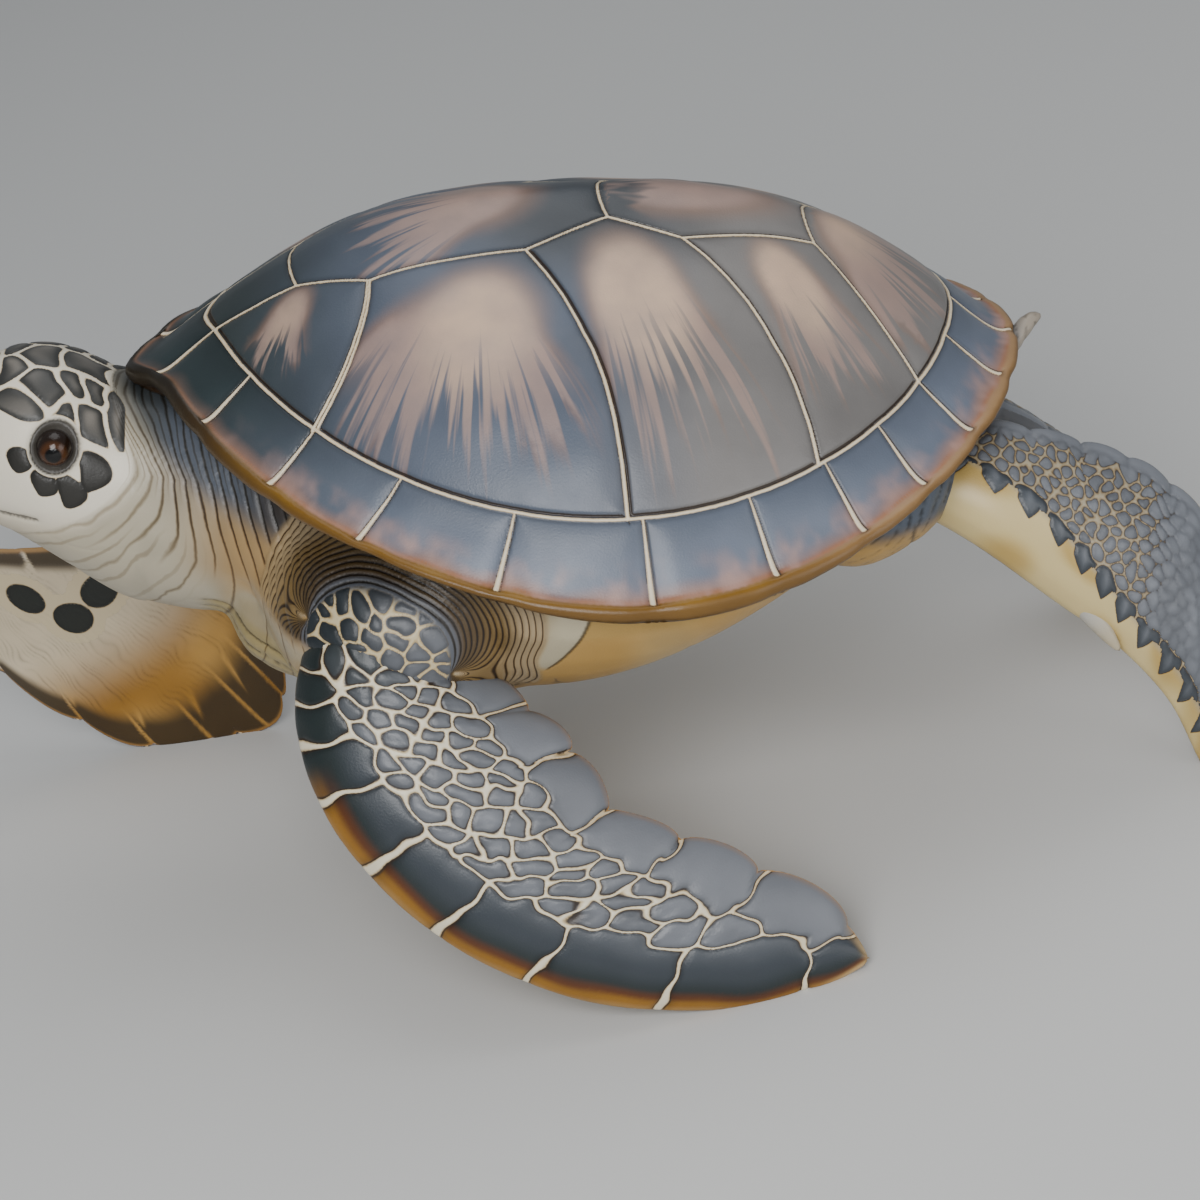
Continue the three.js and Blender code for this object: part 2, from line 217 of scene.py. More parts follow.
def wound(place, size, along, around, rounds=3):
    """A closed skin wound round a line from end to end, with finer faces where size asks for them.

    place(u, v) gives points for u along and v around, both from 0 to 1.
    """
    us = np.concatenate([[0], np.repeat(np.arange(1, along) / along, around), [1]])
    vs = np.concatenate([[0], np.tile(np.arange(around) / around, along - 1), [0]])
    pole = np.zeros(len(us), bool)
    pole[[0, -1]] = True
    rings = 1 + np.arange((along - 1) * around).reshape(-1, around)
    after = np.roll(rings, -1, axis=1)
    tri = [np.column_stack([np.zeros(around, int), rings[0], after[0]])]
    for a, a2, b, b2 in zip(rings[:-1], after[:-1], rings[1:], after[1:]):
        tri += [np.column_stack([a, b, b2]), np.column_stack([a, b2, a2])]
    tri.append(np.column_stack([np.full(around, len(us) - 1), after[-1], rings[-1]]))
    tri = np.vstack(tri)
    for _ in range(rounds):
        wanted = long_edges(place(us, vs), tri, size(us, vs))
        if not len(wanted):
            break
        tri, pairs = split_edges(tri, wanted, len(us))
        a, b = pairs.T
        half = vs[a] + ((vs[b] - vs[a] + 0.5) % 1 - 0.5) / 2
        half = np.where(pole[a], vs[b], np.where(pole[b], vs[a], half)) % 1
        us = np.concatenate([us, (us[a] + us[b]) / 2])
        vs = np.concatenate([vs, half])
        pole = np.concatenate([pole, np.zeros(len(a), bool)])
    p = place(us, vs)
    if (p[tri[:, 0]] * np.cross(p[tri[:, 1]], p[tri[:, 2]])).sum() < 0:
        tri = tri[:, ::-1]
    return us, vs, p, tri


def as_it_is(u, v):
    """A size that asks for no finer faces."""
    return np.full(len(u), 1e3)


def placed(name, data):
    """A new object in the scene."""
    thing = bpy.data.objects.new(name, data)
    bpy.context.scene.collection.objects.link(thing)
    return thing


def cut_flat(mesh):
    """The statue stands on this piece, so it is cut flat on the floor, as the solid is."""
    work = bmesh.new()
    work.from_mesh(mesh)
    every = work.verts[:] + work.edges[:] + work.faces[:]
    cut = bmesh.ops.bisect_plane(
        work, geom=every, plane_co=(0, 0, FLOOR_CUT), plane_no=(0, 0, 1), clear_inner=True
    )
    rim = [edge for edge in cut["geom_cut"] if isinstance(edge, bmesh.types.BMEdge)]
    bmesh.ops.triangle_fill(work, use_beauty=True, use_dissolve=False, edges=rim, normal=(0, 0, -1))
    bmesh.ops.recalc_face_normals(work, faces=work.faces[:])
    if work.calc_volume(signed=True) < 0:
        bmesh.ops.reverse_faces(work, faces=work.faces[:])
    work.to_mesh(mesh)
    work.free()


def finished(name, places, tri, material, looks):
    """The piece as an object, with its paint values stored on its points."""
    mesh = bpy.data.meshes.new(name)
    mesh.vertices.add(len(places))
    mesh.vertices.foreach_set("co", stood(places).astype(np.float32).ravel())
    mesh.loops.add(tri.size)
    mesh.loops.foreach_set("vertex_index", tri.astype(np.int32).ravel())
    mesh.polygons.add(len(tri))
    mesh.polygons.foreach_set("loop_start", np.arange(0, tri.size, 3, dtype=np.int32))
    mesh.update(calc_edges=True)
    mesh.polygons.foreach_set("use_smooth", np.ones(len(tri), bool))
    for key, values in looks.items():
        if values.ndim == 2:
            values = np.column_stack([values, np.ones(len(values))])
            kind, part = "FLOAT_COLOR", "color"
        else:
            kind, part = "FLOAT", "value"
        mesh.attributes.new(key, kind, "POINT").data.foreach_set(part, values.astype(np.float32).ravel())
    mesh.materials.append(material)
    mesh.validate()
    if min(vertex.co.z for vertex in mesh.vertices) < 0:
        cut_flat(mesh)
    piece = placed(name, mesh)
    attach(piece, "root")
    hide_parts("turtle")
    print(name, len(mesh.polygons), "triangles")


def plain_looks(colour):
    """The paint values of a small piece without lines."""
    far = np.full(len(colour), NO_LINE)
    return {"undercoat": colour, "line": colour, "cream_mm": far, "dark_mm": far}


def cells(p, sites, blend):
    """For each place, the nearest scale and half the gap to the next one.

    A scale's site is a short line, from one place to another, with a radius.
    """
    a, b, r = sites[:, 0:2], sites[:, 2:4], sites[:, 4]
    run = b - a
    square = np.maximum((run * run).sum(1), 1e-9)
    owners, gaps = [], []
    for part in np.split(p, range(20000, len(p), 20000)):
        q = part[:, None, :] - a
        f = np.clip((q * run).sum(2) / square, 0, 1)
        d = np.linalg.norm(q - f[..., None] * run, axis=2) - r
        rows = np.arange(len(d))
        i = d.argmin(1)
        nearest = d[rows, i]
        d[rows, i] = np.inf
        second = d.min(1)
        soft = second - np.log(np.exp(-blend * (d - second[:, None])).sum(1)) / blend
        owners.append(i)
        gaps.append((soft - nearest) / 2)
    return np.concatenate(owners), np.concatenate(gaps)


# ---- Paint materials ----
class Nodes:
    """A material's node tree, built up a sum at a time."""

    def __init__(self, name):
        self.material = bpy.data.materials.new(name)
        self.material.use_nodes = True
        self.tree = self.material.node_tree
        self.shader = self.tree.nodes["Principled BSDF"]

    def add(self, kind, **settings):
        node = self.tree.nodes.new("ShaderNode" + kind)
        for key, value in settings.items():
            setattr(node, key, value)
        return node

    def join(self, source, socket):
        if isinstance(source, bpy.types.NodeSocket):
            self.tree.links.new(source, socket)
        elif isinstance(source, np.ndarray):
            socket.default_value = (*source, 1)
        else:
            socket.default_value = source

    def fill(self, node, **terms):
        for key, term in terms.items():
            self.join(term, node.inputs[key])

    def value(self, key, output="Fac"):
        return self.add("Attribute", attribute_name=key).outputs[output]

    def sum(self, operation, *terms, clamp=False):
        node = self.add("Math", operation=operation, use_clamp=clamp)
        for term, socket in zip(terms, node.inputs):
            self.join(term, socket)
        return node.outputs[0]

    def times(self, *terms, clamp=False):
        return self.sum("MULTIPLY", *terms, clamp=clamp)

    def scaled(self, x, factor, start):
        return self.sum("MULTIPLY_ADD", x, factor, start)

    def step(self, x, low, high):
        """0 below low, 1 above high and smooth between; low may be the larger."""
        node = self.add("MapRange", interpolation_type="SMOOTHSTEP")
        self.fill(node, **{"Value": x, "From Min": low, "From Max": high})
        return node.outputs["Result"]

    def blend(self, share, under, over, kind="MIX"):
        node = self.add("Mix", data_type="RGBA", blend_type=kind)
        for i, term in ((0, share), (6, under), (7, over)):
            self.join(term, node.inputs[i])
        return node.outputs[2]

    def shade(self, colour, *factor):
        """The colour darkened by one factor or by one for each of red, green and blue."""
        return self.blend(1, colour, self.triple(*(factor if len(factor) > 1 else factor * 3)), "MULTIPLY")

    def noise(self, vector, scale, detail, roughness=0.5):
        node = self.add("TexNoise")
        self.fill(node, Vector=vector, Scale=scale, Detail=detail, Roughness=roughness)
        return node.outputs["Fac"]

    def triple(self, x, y, z=0.0):
        node = self.add("CombineXYZ")
        for term, socket in zip((x, y, z), node.inputs):
            self.join(term, socket)
        return node.outputs[0]


def fan_coats(n, place, colour):
    """Painted fans of soft rays on the large plates, and the blush on the rim plates."""
    reach, fan = n.value("reach"), n.value("fan")
    streak = n.noise(n.triple(n.value("ray"), n.times(reach, 0.9)), 1.0, 2.0, 0.55)
    ray = n.step(n.sum("SUBTRACT", streak, n.scaled(reach, 0.34, 0.31)), -0.06, 0.07)
    ray = n.sum("MAXIMUM", ray, n.step(reach, 0.5, -0.05))
    patchy = n.scaled(n.noise(place, 34, 3), 0.7, 0.6)
    share = n.times(n.times(n.times(fan, ray), n.scaled(reach, -0.3, 0.86)), patchy, clamp=True)
    paint = n.blend(n.step(fan, 0.98, 0.5), rgb(160, 134, 123), RUST)
    paint = n.blend(n.step(n.value("core"), 0.0, 0.75), paint, TAN)
    colour = n.blend(share, colour, paint)
    patch = n.noise(n.triple(n.value("ray"), n.times(reach, 0.8), 3.0), 1.0, 2.5, 0.6)
    blush = n.times(n.value("blush"), n.step(patch, 0.42, 0.68))
    return n.blend(n.times(blush, 0.8), colour, rgb(168, 136, 126))


def fold_coats(n, place, colour):
    """The dark in the folds: once a turn of the fold count, and finer lines half way between."""
    drift = n.scaled(n.noise(place, 90, 2), 0.16, -0.08)
    part = n.sum("FRACT", n.sum("ADD", n.value("fold"), drift))
    near = n.times(n.sum("ABSOLUTE", n.sum("SUBTRACT", part, 0.5)), 2.0)
    thin = n.value("fold_thin")
    start, width = n.scaled(thin, 0.42, 0.34), n.scaled(thin, -0.2, 0.4)
    deep = n.sum("DIVIDE", n.sum("SUBTRACT", near, start), width, clamp=True)
    deep = n.times(n.times(deep, n.value("fold_dark")), 0.88)
    fine = n.times(n.step(near, 0.2, 0.06), n.times(n.value("fold_fine"), 0.5))
    left = n.sum("SUBTRACT", 1.0, n.sum("MAXIMUM", deep, fine))
    return n.shade(colour, left, n.sum("POWER", left, 1.15), n.sum("POWER", left, 1.4))


def hand_paint(name, before_lines=None, after_lines=None, gloss=0.36):
    """Airbrushed undercoat with crisp cream lines and dark grooves, under a satin varnish.

    A piece may have coats of its own, laid on before its lines or after them.
    """
    n = Nodes(name)
    place = n.add("TexCoord").outputs["Object"]
    colour = n.shade(n.value("undercoat", "Color"), n.scaled(n.noise(place, 26, 3), 0.34, 0.83))
    if before_lines:
        colour = before_lines(n, place, colour)
    edge = n.sum("ADD", n.value("cream_mm"), n.scaled(n.noise(place, 420, 2), 0.5, -0.25))
    colour = n.shade(colour, n.scaled(n.step(edge, -0.5, 5.0), 0.36, 0.64))
    dark = n.step(n.value("dark_mm"), 0.4, -0.4)
    colour = n.blend(n.times(dark, 0.88), colour, UMBER * 0.5)
    worn = n.scaled(n.step(edge, 0.05, -0.8), 0.42, 0.58)
    line = n.shade(n.value("line", "Color"), n.sum("POWER", worn, 0.7), worn, n.sum("POWER", worn, 1.5))
    colour = n.blend(n.step(edge, 0.22, -0.22), colour, line)
    if after_lines:
        colour = after_lines(n, place, colour)
    sheen = n.scaled(n.noise(place, 60, 2), 0.16, gloss - 0.08)
    n.fill(n.shader, **{"Base Color": colour, "Roughness": sheen})
    bump = n.add("Bump")
    n.fill(bump, Strength=0.25, Distance=0.0006, Height=n.noise(place, 700, 3))
    n.fill(n.shader, Normal=bump.outputs[0], **VARNISH)
    return n.material


# ---- Carapace ----
LENGTH, HALF_WIDTH = 600.0, 255.0
DOME_HEIGHT, KEEL_HEIGHT, RIM_RISE = 150, 37, 74
FRONT_POWER, REAR_POWER = 0.63, 0.555  # how full the outline is before and behind its widest place
WIDEST = FRONT_POWER / (FRONT_POWER + REAR_POWER)
CENTRE = 0.477  # the middle that the shell is wound round, as a share of its length
RING = 0.872  # the ring seam's place, as a share of the way from that middle out to the rim
LIP = 20.0  # the rim's thickness
INNER = 0.8  # where the shelf under the rim ends, as a share of the same way
TOP, TURN, SHELF = 0.66, 0.78, 0.88  # where along u the upper side, the lip and the shelf end
MARGINALS = [0.06, 0.155, 0.248, 0.338, 0.436, 0.54, 0.631, 0.706, 0.77, 0.839, 0.917, 1.0]
CORNERS = [(0.165, 34), (0.25, 58), (0.43, 55), (0.525, 30), (0.61, 47), (0.765, 31)]
# Seams from the middle plates out to the ring: their corner, where they meet the ring, and how far they bow.
CROSS_SEAMS = ((1, 0.248, 10), (2, 0.528, 12), (4, 0.7, 12))


def x_mm(along):
    return (along - 0.5) * LENGTH


def half_width(along):
    x = np.clip(along, 0, 1)
    return HALF_WIDTH * (x / WIDEST) ** FRONT_POWER * ((1 - x) / (1 - WIDEST)) ** REAR_POWER


def rim_rise(along):
    return RIM_RISE * np.square(2 * along - 1)


def lip(t):
    """The thickness of the shell's rim, thinner over the front flippers."""
    return LIP * (1 - 0.45 * bell(t - 0.37, 0.14) - 0.4 * smooth(t, 0.58, 0.8))


def keel(along, y):
    """The raised roof along the middle of the back."""
    lengthwise = np.maximum(1 - np.square((along - 0.542) / 0.433), 0) ** 1.5
    return KEEL_HEIGHT * lengthwise * np.maximum(1 - (np.hypot(y, 10) - 10) / 110, 0) ** 1.25


def dome(along, share, y):
    crown = np.maximum(1 - share**3.4, 0) ** 1.2
    high = DOME_HEIGHT * (1 + 0.22 * np.square(2 * along - 1)) * crown
    return rim_rise(along) * share**2 + high + keel(along, y)


def underside(along, share):
    """The belly, and the shelf that runs out from it to the rim."""
    shelf = rim_rise(along) - LIP - 60 * (1 - share)
    belly = -171 + 166 * np.square(np.maximum(0, (along - 0.25) / 0.65))
    return mix(shelf, belly, np.maximum(1 - (share / 0.88) ** 2.6, 0) ** 0.62)


def round_rim(v):
    """The rim's place, as a share of the length and a distance sideways, for a turn v round the shell."""
    turn = (v % 1) * 2
    t = np.where(turn < 1, turn, 2 - turn)
    along = 0.5 - 0.5 * np.cos(math.pi * t)
    return t, along, np.where(turn < 1, -1, 1) * half_width(along)


def in_plan(share, v):
    _, rim_along, rim_y = round_rim(v)
    return CENTRE + share * (rim_along - CENTRE), share * rim_y


def round_lip(u):
    """How far round the rim's lip each place lies, from 0 above it to 1 below."""
    return np.clip((u - TOP) / (TURN - TOP), 0, 1)


def carapace_share(u):
    share = np.where(u < TOP, u / TOP, 1 + 0.03 * np.sin(round_lip(u) * math.pi))
    share = np.where(u > TURN, mix(1.0, INNER, (u - TURN) / (SHELF - TURN)), share)
    return np.where(u > SHELF, INNER * (1 - u) / (1 - SHELF), share)


def carapace(u, v):
    """The shell's skin, from the middle of the back at u = 0 round the rim to the middle below at u = 1."""
    share = carapace_share(u)
    t, rim_along, rim_y = round_rim(v)
    along = CENTRE + share * (rim_along - CENTRE)
    z = dome(along, np.minimum(share, 1), share * rim_y)
    z = np.where(u >= TOP, rim_rise(rim_along) + lip(t) / 2 * (np.cos(round_lip(u) * math.pi) - 1), z)
    z = np.where(u > TURN, rim_rise(along) - lip(t) - 60 * (1 - share), z)
    shelf_end = rim_rise(CENTRE + INNER * (rim_along - CENTRE)) - lip(t) - 12
    z = np.where(u > SHELF, mix(shelf_end, 10.0, (u - SHELF) / (1 - SHELF)), z)
    z = z + 6 * bell(t - 0.37, 0.12) * smooth(share, 0.9, 1) * (u < SHELF)
    near_seam = np.min([np.abs(t - seam) for seam in MARGINALS], axis=0)
    notch = 1 - 0.006 * (1 - smooth(near_seam, 0, 0.02))
    brim = 1 + 0.06 * (1 - smooth(t, 0, 0.1))
    outer = smooth(share, 0.8, 1)
    z = z - 260 * (brim - 1) * outer
    share = share * mix(1, notch * brim, outer)
    along = CENTRE + share * (rim_along - CENTRE)
    return np.column_stack([x_mm(along), share * rim_y, z])


def plan_mm(u, v):
    along, y = in_plan(carapace_share(u), v)
    return np.column_stack([x_mm(along), y])


def ring_place(t, side, share=RING):
    """A place on the ring seam in plan, or at another share of the way out to the rim."""
    along = 0.5 - 0.5 * math.cos(math.pi * t)
    return x_mm(CENTRE + share * (along - CENTRE)), side * share * float(half_width(along))


def ring_run(start, end, side, count):
    return np.array([ring_place(t, side) for t in np.linspace(start, end, count)])


def bowed(a, b, bow=0.0, steps=8):
    a, b = np.array(a, float), np.array(b, float)
    run = b - a
    across = np.array([-run[1], run[0]]) / np.linalg.norm(run)
    f = np.linspace(0, 1, steps + 1)[:, None]
    return a + f * run + across * 4 * f * (1 - f) * bow


def corner(i, side):
    along, y = CORNERS[i]
    return x_mm(along), side * y


def cross_seams(side):
    return [bowed(corner(i, side), ring_place(t, side), -side * bow) for i, t, bow in CROSS_SEAMS]


def side_seams(side):
    """One side's seams: points in plan, the cream line's half width at both ends, and the groove's width."""
    first, second, third = cross_seams(side)
    parting = np.linspace([0.4, 0], [1, 0], len(first))  # the first cross seam is a double line
    seams = [
        (ring_run(0, 1, side, 61), 1.2, 1.2, 2.4),
        (bowed(ring_place(0.06, side), corner(0, side)), 1.2, 1.0, 0.8),
        *((bowed(corner(i, side), corner(i + 1, side)), 1.0, 1.0, 0.9) for i in range(5)),
        (bowed(corner(5, side), ring_place(0.839, side)), 0.9, 1.2, 0.9),
        *((first + shift * parting, 0.9, 1.1, 0.8) for shift in (-2.1, 2.1)),
        (second, 1.1, 1.4, 2.2),
        (third, 1.0, 1.4, 1.2),
    ]
    for t in MARGINALS[:-1]:
        lean = 0.014 * bell(t - 0.34, 0.12)
        seams.append((bowed(ring_place(t, side), ring_place(t - lean, side, 1.0), 0, 2), 0.75, 1.9, 1.2))
    # A groove lies on the left of its seam's direction, so the other side's seams run the other way.
    return seams if side < 0 else [(points[::-1], end, start, groove) for points, start, end, groove in seams]


def carapace_seams():
    middle = [(bowed(corner(i, -1), corner(i, 1), 6), 1.0, 1.0, 0.8) for i in (0, 3, 5)]
    last = (np.array([ring_place(1, 1), (306.0, 0.0)]), 1.0, 2.0, 1.2)
    return [*side_seams(-1), *side_seams(1), *middle, last]


def slopes(u, v):
    """How steeply the skin falls, as its rise for a step along x and along y."""
    p = carapace(u, v)
    du = carapace(np.where(u < 0.5, u + 1e-4, u - 1e-4), v) - p
    dv = carapace(u, v + 1e-4) - p
    normal = np.cross(du, dv)
    up = np.where(np.abs(normal[:, 2]) < 1e-12, 1e-12, normal[:, 2])
    slope = -normal[:, :2] / up[:, None]
    length = np.linalg.norm(slope, axis=1)
    return slope * (np.minimum(length, 2.2) / np.maximum(length, 1e-9))[:, None]


def seam_lines(p, slope, seams):
    """Distance over the skin past the nearest cream line's edge, and past its groove's, in millimetres."""
    edge, groove = np.full(len(p), 60.0), np.full(len(p), 60.0)
    for points, start, end, width in seams:
        steps = np.linalg.norm(np.diff(points, axis=0), axis=1)
        whole, done = steps.sum(), 0.0
        for a, b, length in zip(points[:-1], points[1:], steps):
            run = (b - a) / length
            q = p - a
            f = np.clip(q @ run, 0, length)
            off = q - f[:, None] * run
            d = np.sqrt((off * off).sum(1) + np.square((off * slope).sum(1)))
            e = d - mix(start, end, (done + f) / whole)
            left = run[0] * q[:, 1] - run[1] * q[:, 0] > 0
            closer = e < edge
            edge = np.where(closer, e, edge)
            groove = np.where(closer, e - np.where(left, width, 0.7), groove)
            done += length
    return edge, groove


# Painted fans: where the rays come from, the way they spread and half their spread in degrees, how far they
# reach; then the soft oval they grow out of: its middle, half its length, half its width and how pale it is.
FANS = [
    ((-196, -34), -116, 26, 66, (-207, -60), 26, 17, 0.45),
    ((-75, -52), -104, 45, 156, (-75, -110), 44, 44, 0.85),
    ((-12, 22), -69, 14, 252, (32, -92), 50, 34, 1.0),
    ((104, -22), -56, 17, 146, (137, -70), 34, 21, 0.95),
]
MIDDLE_FANS = [
    ((-40, 0), 180, 40, 132, (-82, 0), 50, 36, 0.15),
    ((-70, 0), 0, 4, 60, (60, 0), 60, 30, 0.0),
    ((152, 0), 0, 62, 112, (182, 0), 24, 40, 0.5),
]


def inside(p, outline):
    """Whether each place lies inside a closed outline."""
    hit = np.zeros(len(p), bool)
    for (x0, y0), (x1, y1) in zip(outline, np.roll(outline, -1, axis=0)):
        if y0 != y1:
            crosses = (p[:, 1] < y0) != (p[:, 1] < y1)
            hit ^= crosses & (p[:, 0] < x0 + (p[:, 1] - y0) * (x1 - x0) / (y1 - y0))
    return hit


def plate_outlines(side):
    """The four side plates' outlines, from front to rear."""
    first, second, third = cross_seams(side)
    ends = (0.06, 0.248, 0.528, 0.7, 0.839)
    rings = [ring_run(rear, front, side, 12) for front, rear in zip(ends, ends[1:])]
    plates = [
        ([corner(0, side)], first),
        (first[::-1], second),
        (second[::-1], [corner(3, side)], third),
        (third[::-1], [corner(5, side), ring_place(0.839, side)]),
    ]
    return [np.vstack([*plate, ring]) for plate, ring in zip(plates, rings)]


def fan_values(p, start, way, spread, reach, middle, long, broad, pale, mirror=1):
    """Place across the rays and along them, and the share of the fan and of its pale heart at each place."""
    start, middle, way = np.array(start, float), np.array(middle, float), math.radians(way)
    q = p * np.array([1, mirror]) - start
    r = np.linalg.norm(q, axis=1)
    turn = (np.arctan2(q[:, 1], q[:, 0]) - way + math.pi) % (2 * math.pi) - math.pi
    across = turn * reach * 0.75
    wobble = 0.5 * np.sin(across * 0.21 + start[0]) + 0.5 * np.sin(across * 0.47 + start[1])
    beside = (np.abs(turn) - math.radians(spread)) * r
    wedge = (1 - smooth(beside, -8, 9)) * (1 - smooth(r / reach - 0.1 * wobble, 0.84, 1.04))
    c, s = math.cos(way), math.sin(way)
    q = p * np.array([1, mirror]) - middle
    long_way, cross_way = q[:, 0] * c + q[:, 1] * s, q[:, 1] * c - q[:, 0] * s
    wedge *= smooth(long_way, -0.9 * long, 0.35 * long)
    oval = np.hypot(np.where(long_way > 0, 0.75, 1) * long_way / long, cross_way / broad)
    fan = 1 - (1 - wedge) * smooth(oval, 0.5, 1.3)
    heart = pale * (1 - smooth(oval, 0.1, 1.5))
    beyond = np.clip(long_way / (reach - np.hypot(*(middle - start))), 0, 1.2)
    return across / 6.5, beyond, fan, heart


def fans_painted(u, flat, share, rim, t, down):
    """Place across the rays and along them, and the share of fan and of pale heart, over the whole shell."""
    fields = np.zeros((4, len(u)))
    taken = np.zeros(len(u), bool)
    for side in (-1, 1):
        for i, (outline, shape) in enumerate(zip(plate_outlines(side), FANS)):
            here = inside(flat, outline) & (u < TOP)
            fields[:, here] = fan_values(flat[here], *shape, mirror=-side)
            fields[0, here] += 31 * i + 7 * side + 200
            taken |= here
    bounds = [corner(i, 1)[0] for i in (0, 3, 5)] + [400]
    for i, shape in enumerate(MIDDLE_FANS):
        here = ~taken & (share < RING) & (flat[:, 0] > bounds[i]) & (flat[:, 0] < bounds[i + 1])
        fields[:, here] = fan_values(flat[here], *shape)
        fields[0, here] += 350 + 19 * i
    fields[:2, rim] = t[rim] * 26, down[rim] * 1.4
    return dict(zip(("ray", "reach", "fan", "core"), fields))


def carapace_relief(u, p, share, edge, groove):
    """Each seam's raised cream line and its groove, the plates' swell towards it, and the worn surface."""
    width = np.maximum(edge - groove, 0.7)
    relief = 0.9 * np.sqrt(np.clip(-edge, 0, 2) / 2)
    relief = relief - 0.9 * width * bell(edge - width / 2, width * 0.5) * (groove < 3)
    relief -= 1.7 * np.exp(-np.maximum(edge, 0) / 7)
    relief += 0.4 * ripple(p, 34, 5) - 1.0
    relief = relief * np.where(u < TURN, 1 - 0.45 * smooth(u, TOP, TOP + 0.03), 0)
    return relief - 1.3 * smooth(share, 0.93, 1) * (u < TURN)


def carapace_paint(p, x, share, t, rim_y, rim, down):
    """The shell's undercoat, with painted shade under the rim, and how much of the blush the rim plates take.
    """
    front = 1 - smooth(t, 0.08, 0.3)
    wave = ripple(np.column_stack([t * 600, rim_y * 0.1]), 24, 9)
    amber = smooth(down + 0.02 * wave, 0.97, 1.05)
    rim_slate = coats(rgb(40, 50, 52), (rgb(94, 102, 116), smooth(t, 0.12, 0.4)))
    gold = coats(
        rgb(118, 82, 8),
        (rgb(130, 94, 20), smooth(wave + t, 0.3, 1.5)),
        # painted shade under the front brim: the lip darkens towards the front
        (rgb(58, 42, 22), front * 0.8),
        (rgb(158, 126, 92), smooth(t, 0.6, 0.76) * 0.85),
        (rgb(98, 70, 28), smooth(down, 1.12, 1.4) * 0.8),
        # painted shade: nearly black on the lip's lower side at the front, under the brim
        (rgb(26, 22, 15), front * smooth(down, 0.98, 1.1) * 0.95),
    )
    base = coats(
        rgb(46, 54, 54),
        (rgb(84, 92, 106), smooth(x, -270, -110)),
        (rgb(116, 113, 111), smooth(x, -20, 90)),
        (rgb(58, 62, 66), 0.9 * (1 - smooth(share, 0.12, 0.46))),
        (0.84, smooth(ripple(p, 70, 3), -0.3, 1.2)),
        (rim_slate * mix(0.82, 1.08, smooth(down, 0.05, 0.6))[:, None], rim),
        (rgb(150, 112, 92), 0.7 * (smooth(down + 0.05 * wave, 0.74, 0.98) * (1 - 0.8 * front))),
        (rgb(150, 96, 58), bell(down + 0.02 * wave - 0.985, 0.035) * 0.8 * (1 - 0.5 * front)),
        (gold, amber),
        # painted shade: dark brown round the lip's lower side and the shelf under the rim, deepest at the
        # front
        (UMBER, smooth(down, 1.5, 2.0) * (1 - 0.4 * smooth(t, 0.1, 0.3))),
    )
    return base, np.where(rim, smooth(down, 0.4, 0.85) * (1 - amber) * smooth(t, 0.14, 0.3), 0)


def build_carapace():
    seams = carapace_seams()

    def size(u, v):
        edge, groove = seam_lines(plan_mm(u, v), slopes(u, v), seams)
        near = np.minimum(np.abs(edge), np.abs(groove))
        fine = np.clip(1.1 + 0.62 * near, 1.1, 6.0)
        fine = np.where((carapace_share(u) > 0.965) & (u < TOP), np.minimum(fine, 2.4), fine)
        fine = np.where(u > TOP, np.maximum(fine, 2.2), fine)
        return np.where(u > SHELF, 40, np.where(u > TURN, 6, fine))

    u, v, p, tri = wound(carapace, size, 44, 180, rounds=4)
    flat, share = plan_mm(u, v), carapace_share(u)
    t, _, rim_y = round_rim(v)
    edge, groove = (np.where(u < TURN, d, NO_LINE) for d in seam_lines(flat, slopes(u, v), seams))
    p = p + unit_normals(p, tri) * carapace_relief(u, p, share, edge, groove)[:, None]

    # How far down the rim each place lies, from the ring seam at 0 to the lip's outside at 1.
    down = np.clip((share - RING) / (1 - RING), 0, 1)
    down = np.where(u > TOP, 1 + round_lip(u), down)
    down = np.where(u > TURN, 2.2, down)
    rim = (share > RING) & (u < TURN)
    undercoat, blush = carapace_paint(p, flat[:, 0], share, t, rim_y, rim, down)
    looks = {
        "undercoat": undercoat,
        "line": np.tile(mix(CREAM, TAN, 0.2), (len(u), 1)),
        "cream_mm": edge,
        "dark_mm": np.where(edge > 0, groove, 5),
        "blush": blush,
        **fans_painted(u, flat, share, rim, t, down),
    }
    finished("carapace", p, tri, hand_paint("painted_carapace", before_lines=fan_coats), looks)


build_carapace()

# ---- Flippers ----
# Each is a blade between its leading and its trailing edge, with a rounded plate between every two seams.
LEFT_FRONT = {
    "lead": [
        (-150, -110, -40), (-194, -172, -66), (-206, -206, -112), (-184, -248, -172), (-116, -284, -240),
        (-20, -306, -283), (74, -308, -295), (146, -302, -286), (192, -294, -264),
    ],
    "trail": [
        (-60, -110, -50), (-96, -176, -84), (-60, -192, -100), (-14, -222, -132), (14, -246, -166),
        (70, -256, -187), (132, -268, -212), (176, -280, -240), (192, -294, -264),
    ],
    "thickness": [60, 54, 43.5, 35.5, 30.5, 26.6, 21.3, 14, 6],
    "camber": [10, 14, 15.2, 11.6, 8.3, 5.5, 4.8, 3, 0],
    "face": -1,
    "lead_seams": [0.0, 0.05, 0.1, 0.145, 0.2, 0.247, 0.3, 0.352, 0.422, 0.495, 0.58, 0.69, 0.83, 1.0],
    "trail_seams": [0.0, 0.17, 0.302, 0.38, 0.495, 0.603, 0.71, 0.868],
    "lead_depth": [12, 12, 15, 32, 50, 58, 60, 60, 60, 61, 61, 48, 20],
    "trail_depth": [12, 12, 18, 38, 44, 38, 38, 38, 40, 40, 24, 10, 4],
    "scallop": 10,
    "grain": ([22, 20, 19, 22, 26, 30, 30], [13, 12, 14, 17, 20, 22, 22]),
    "lean": [90, 80, 55, 40, 20, 10, 0],
    "net": 0.95,
    "bare": 0.11,
    "band": [0, 0],
    "under_depth": [26, 26],
    # The middle of the rounded tip, back from its point, and its radius.
    "round_tip": (22, 14.5),
}
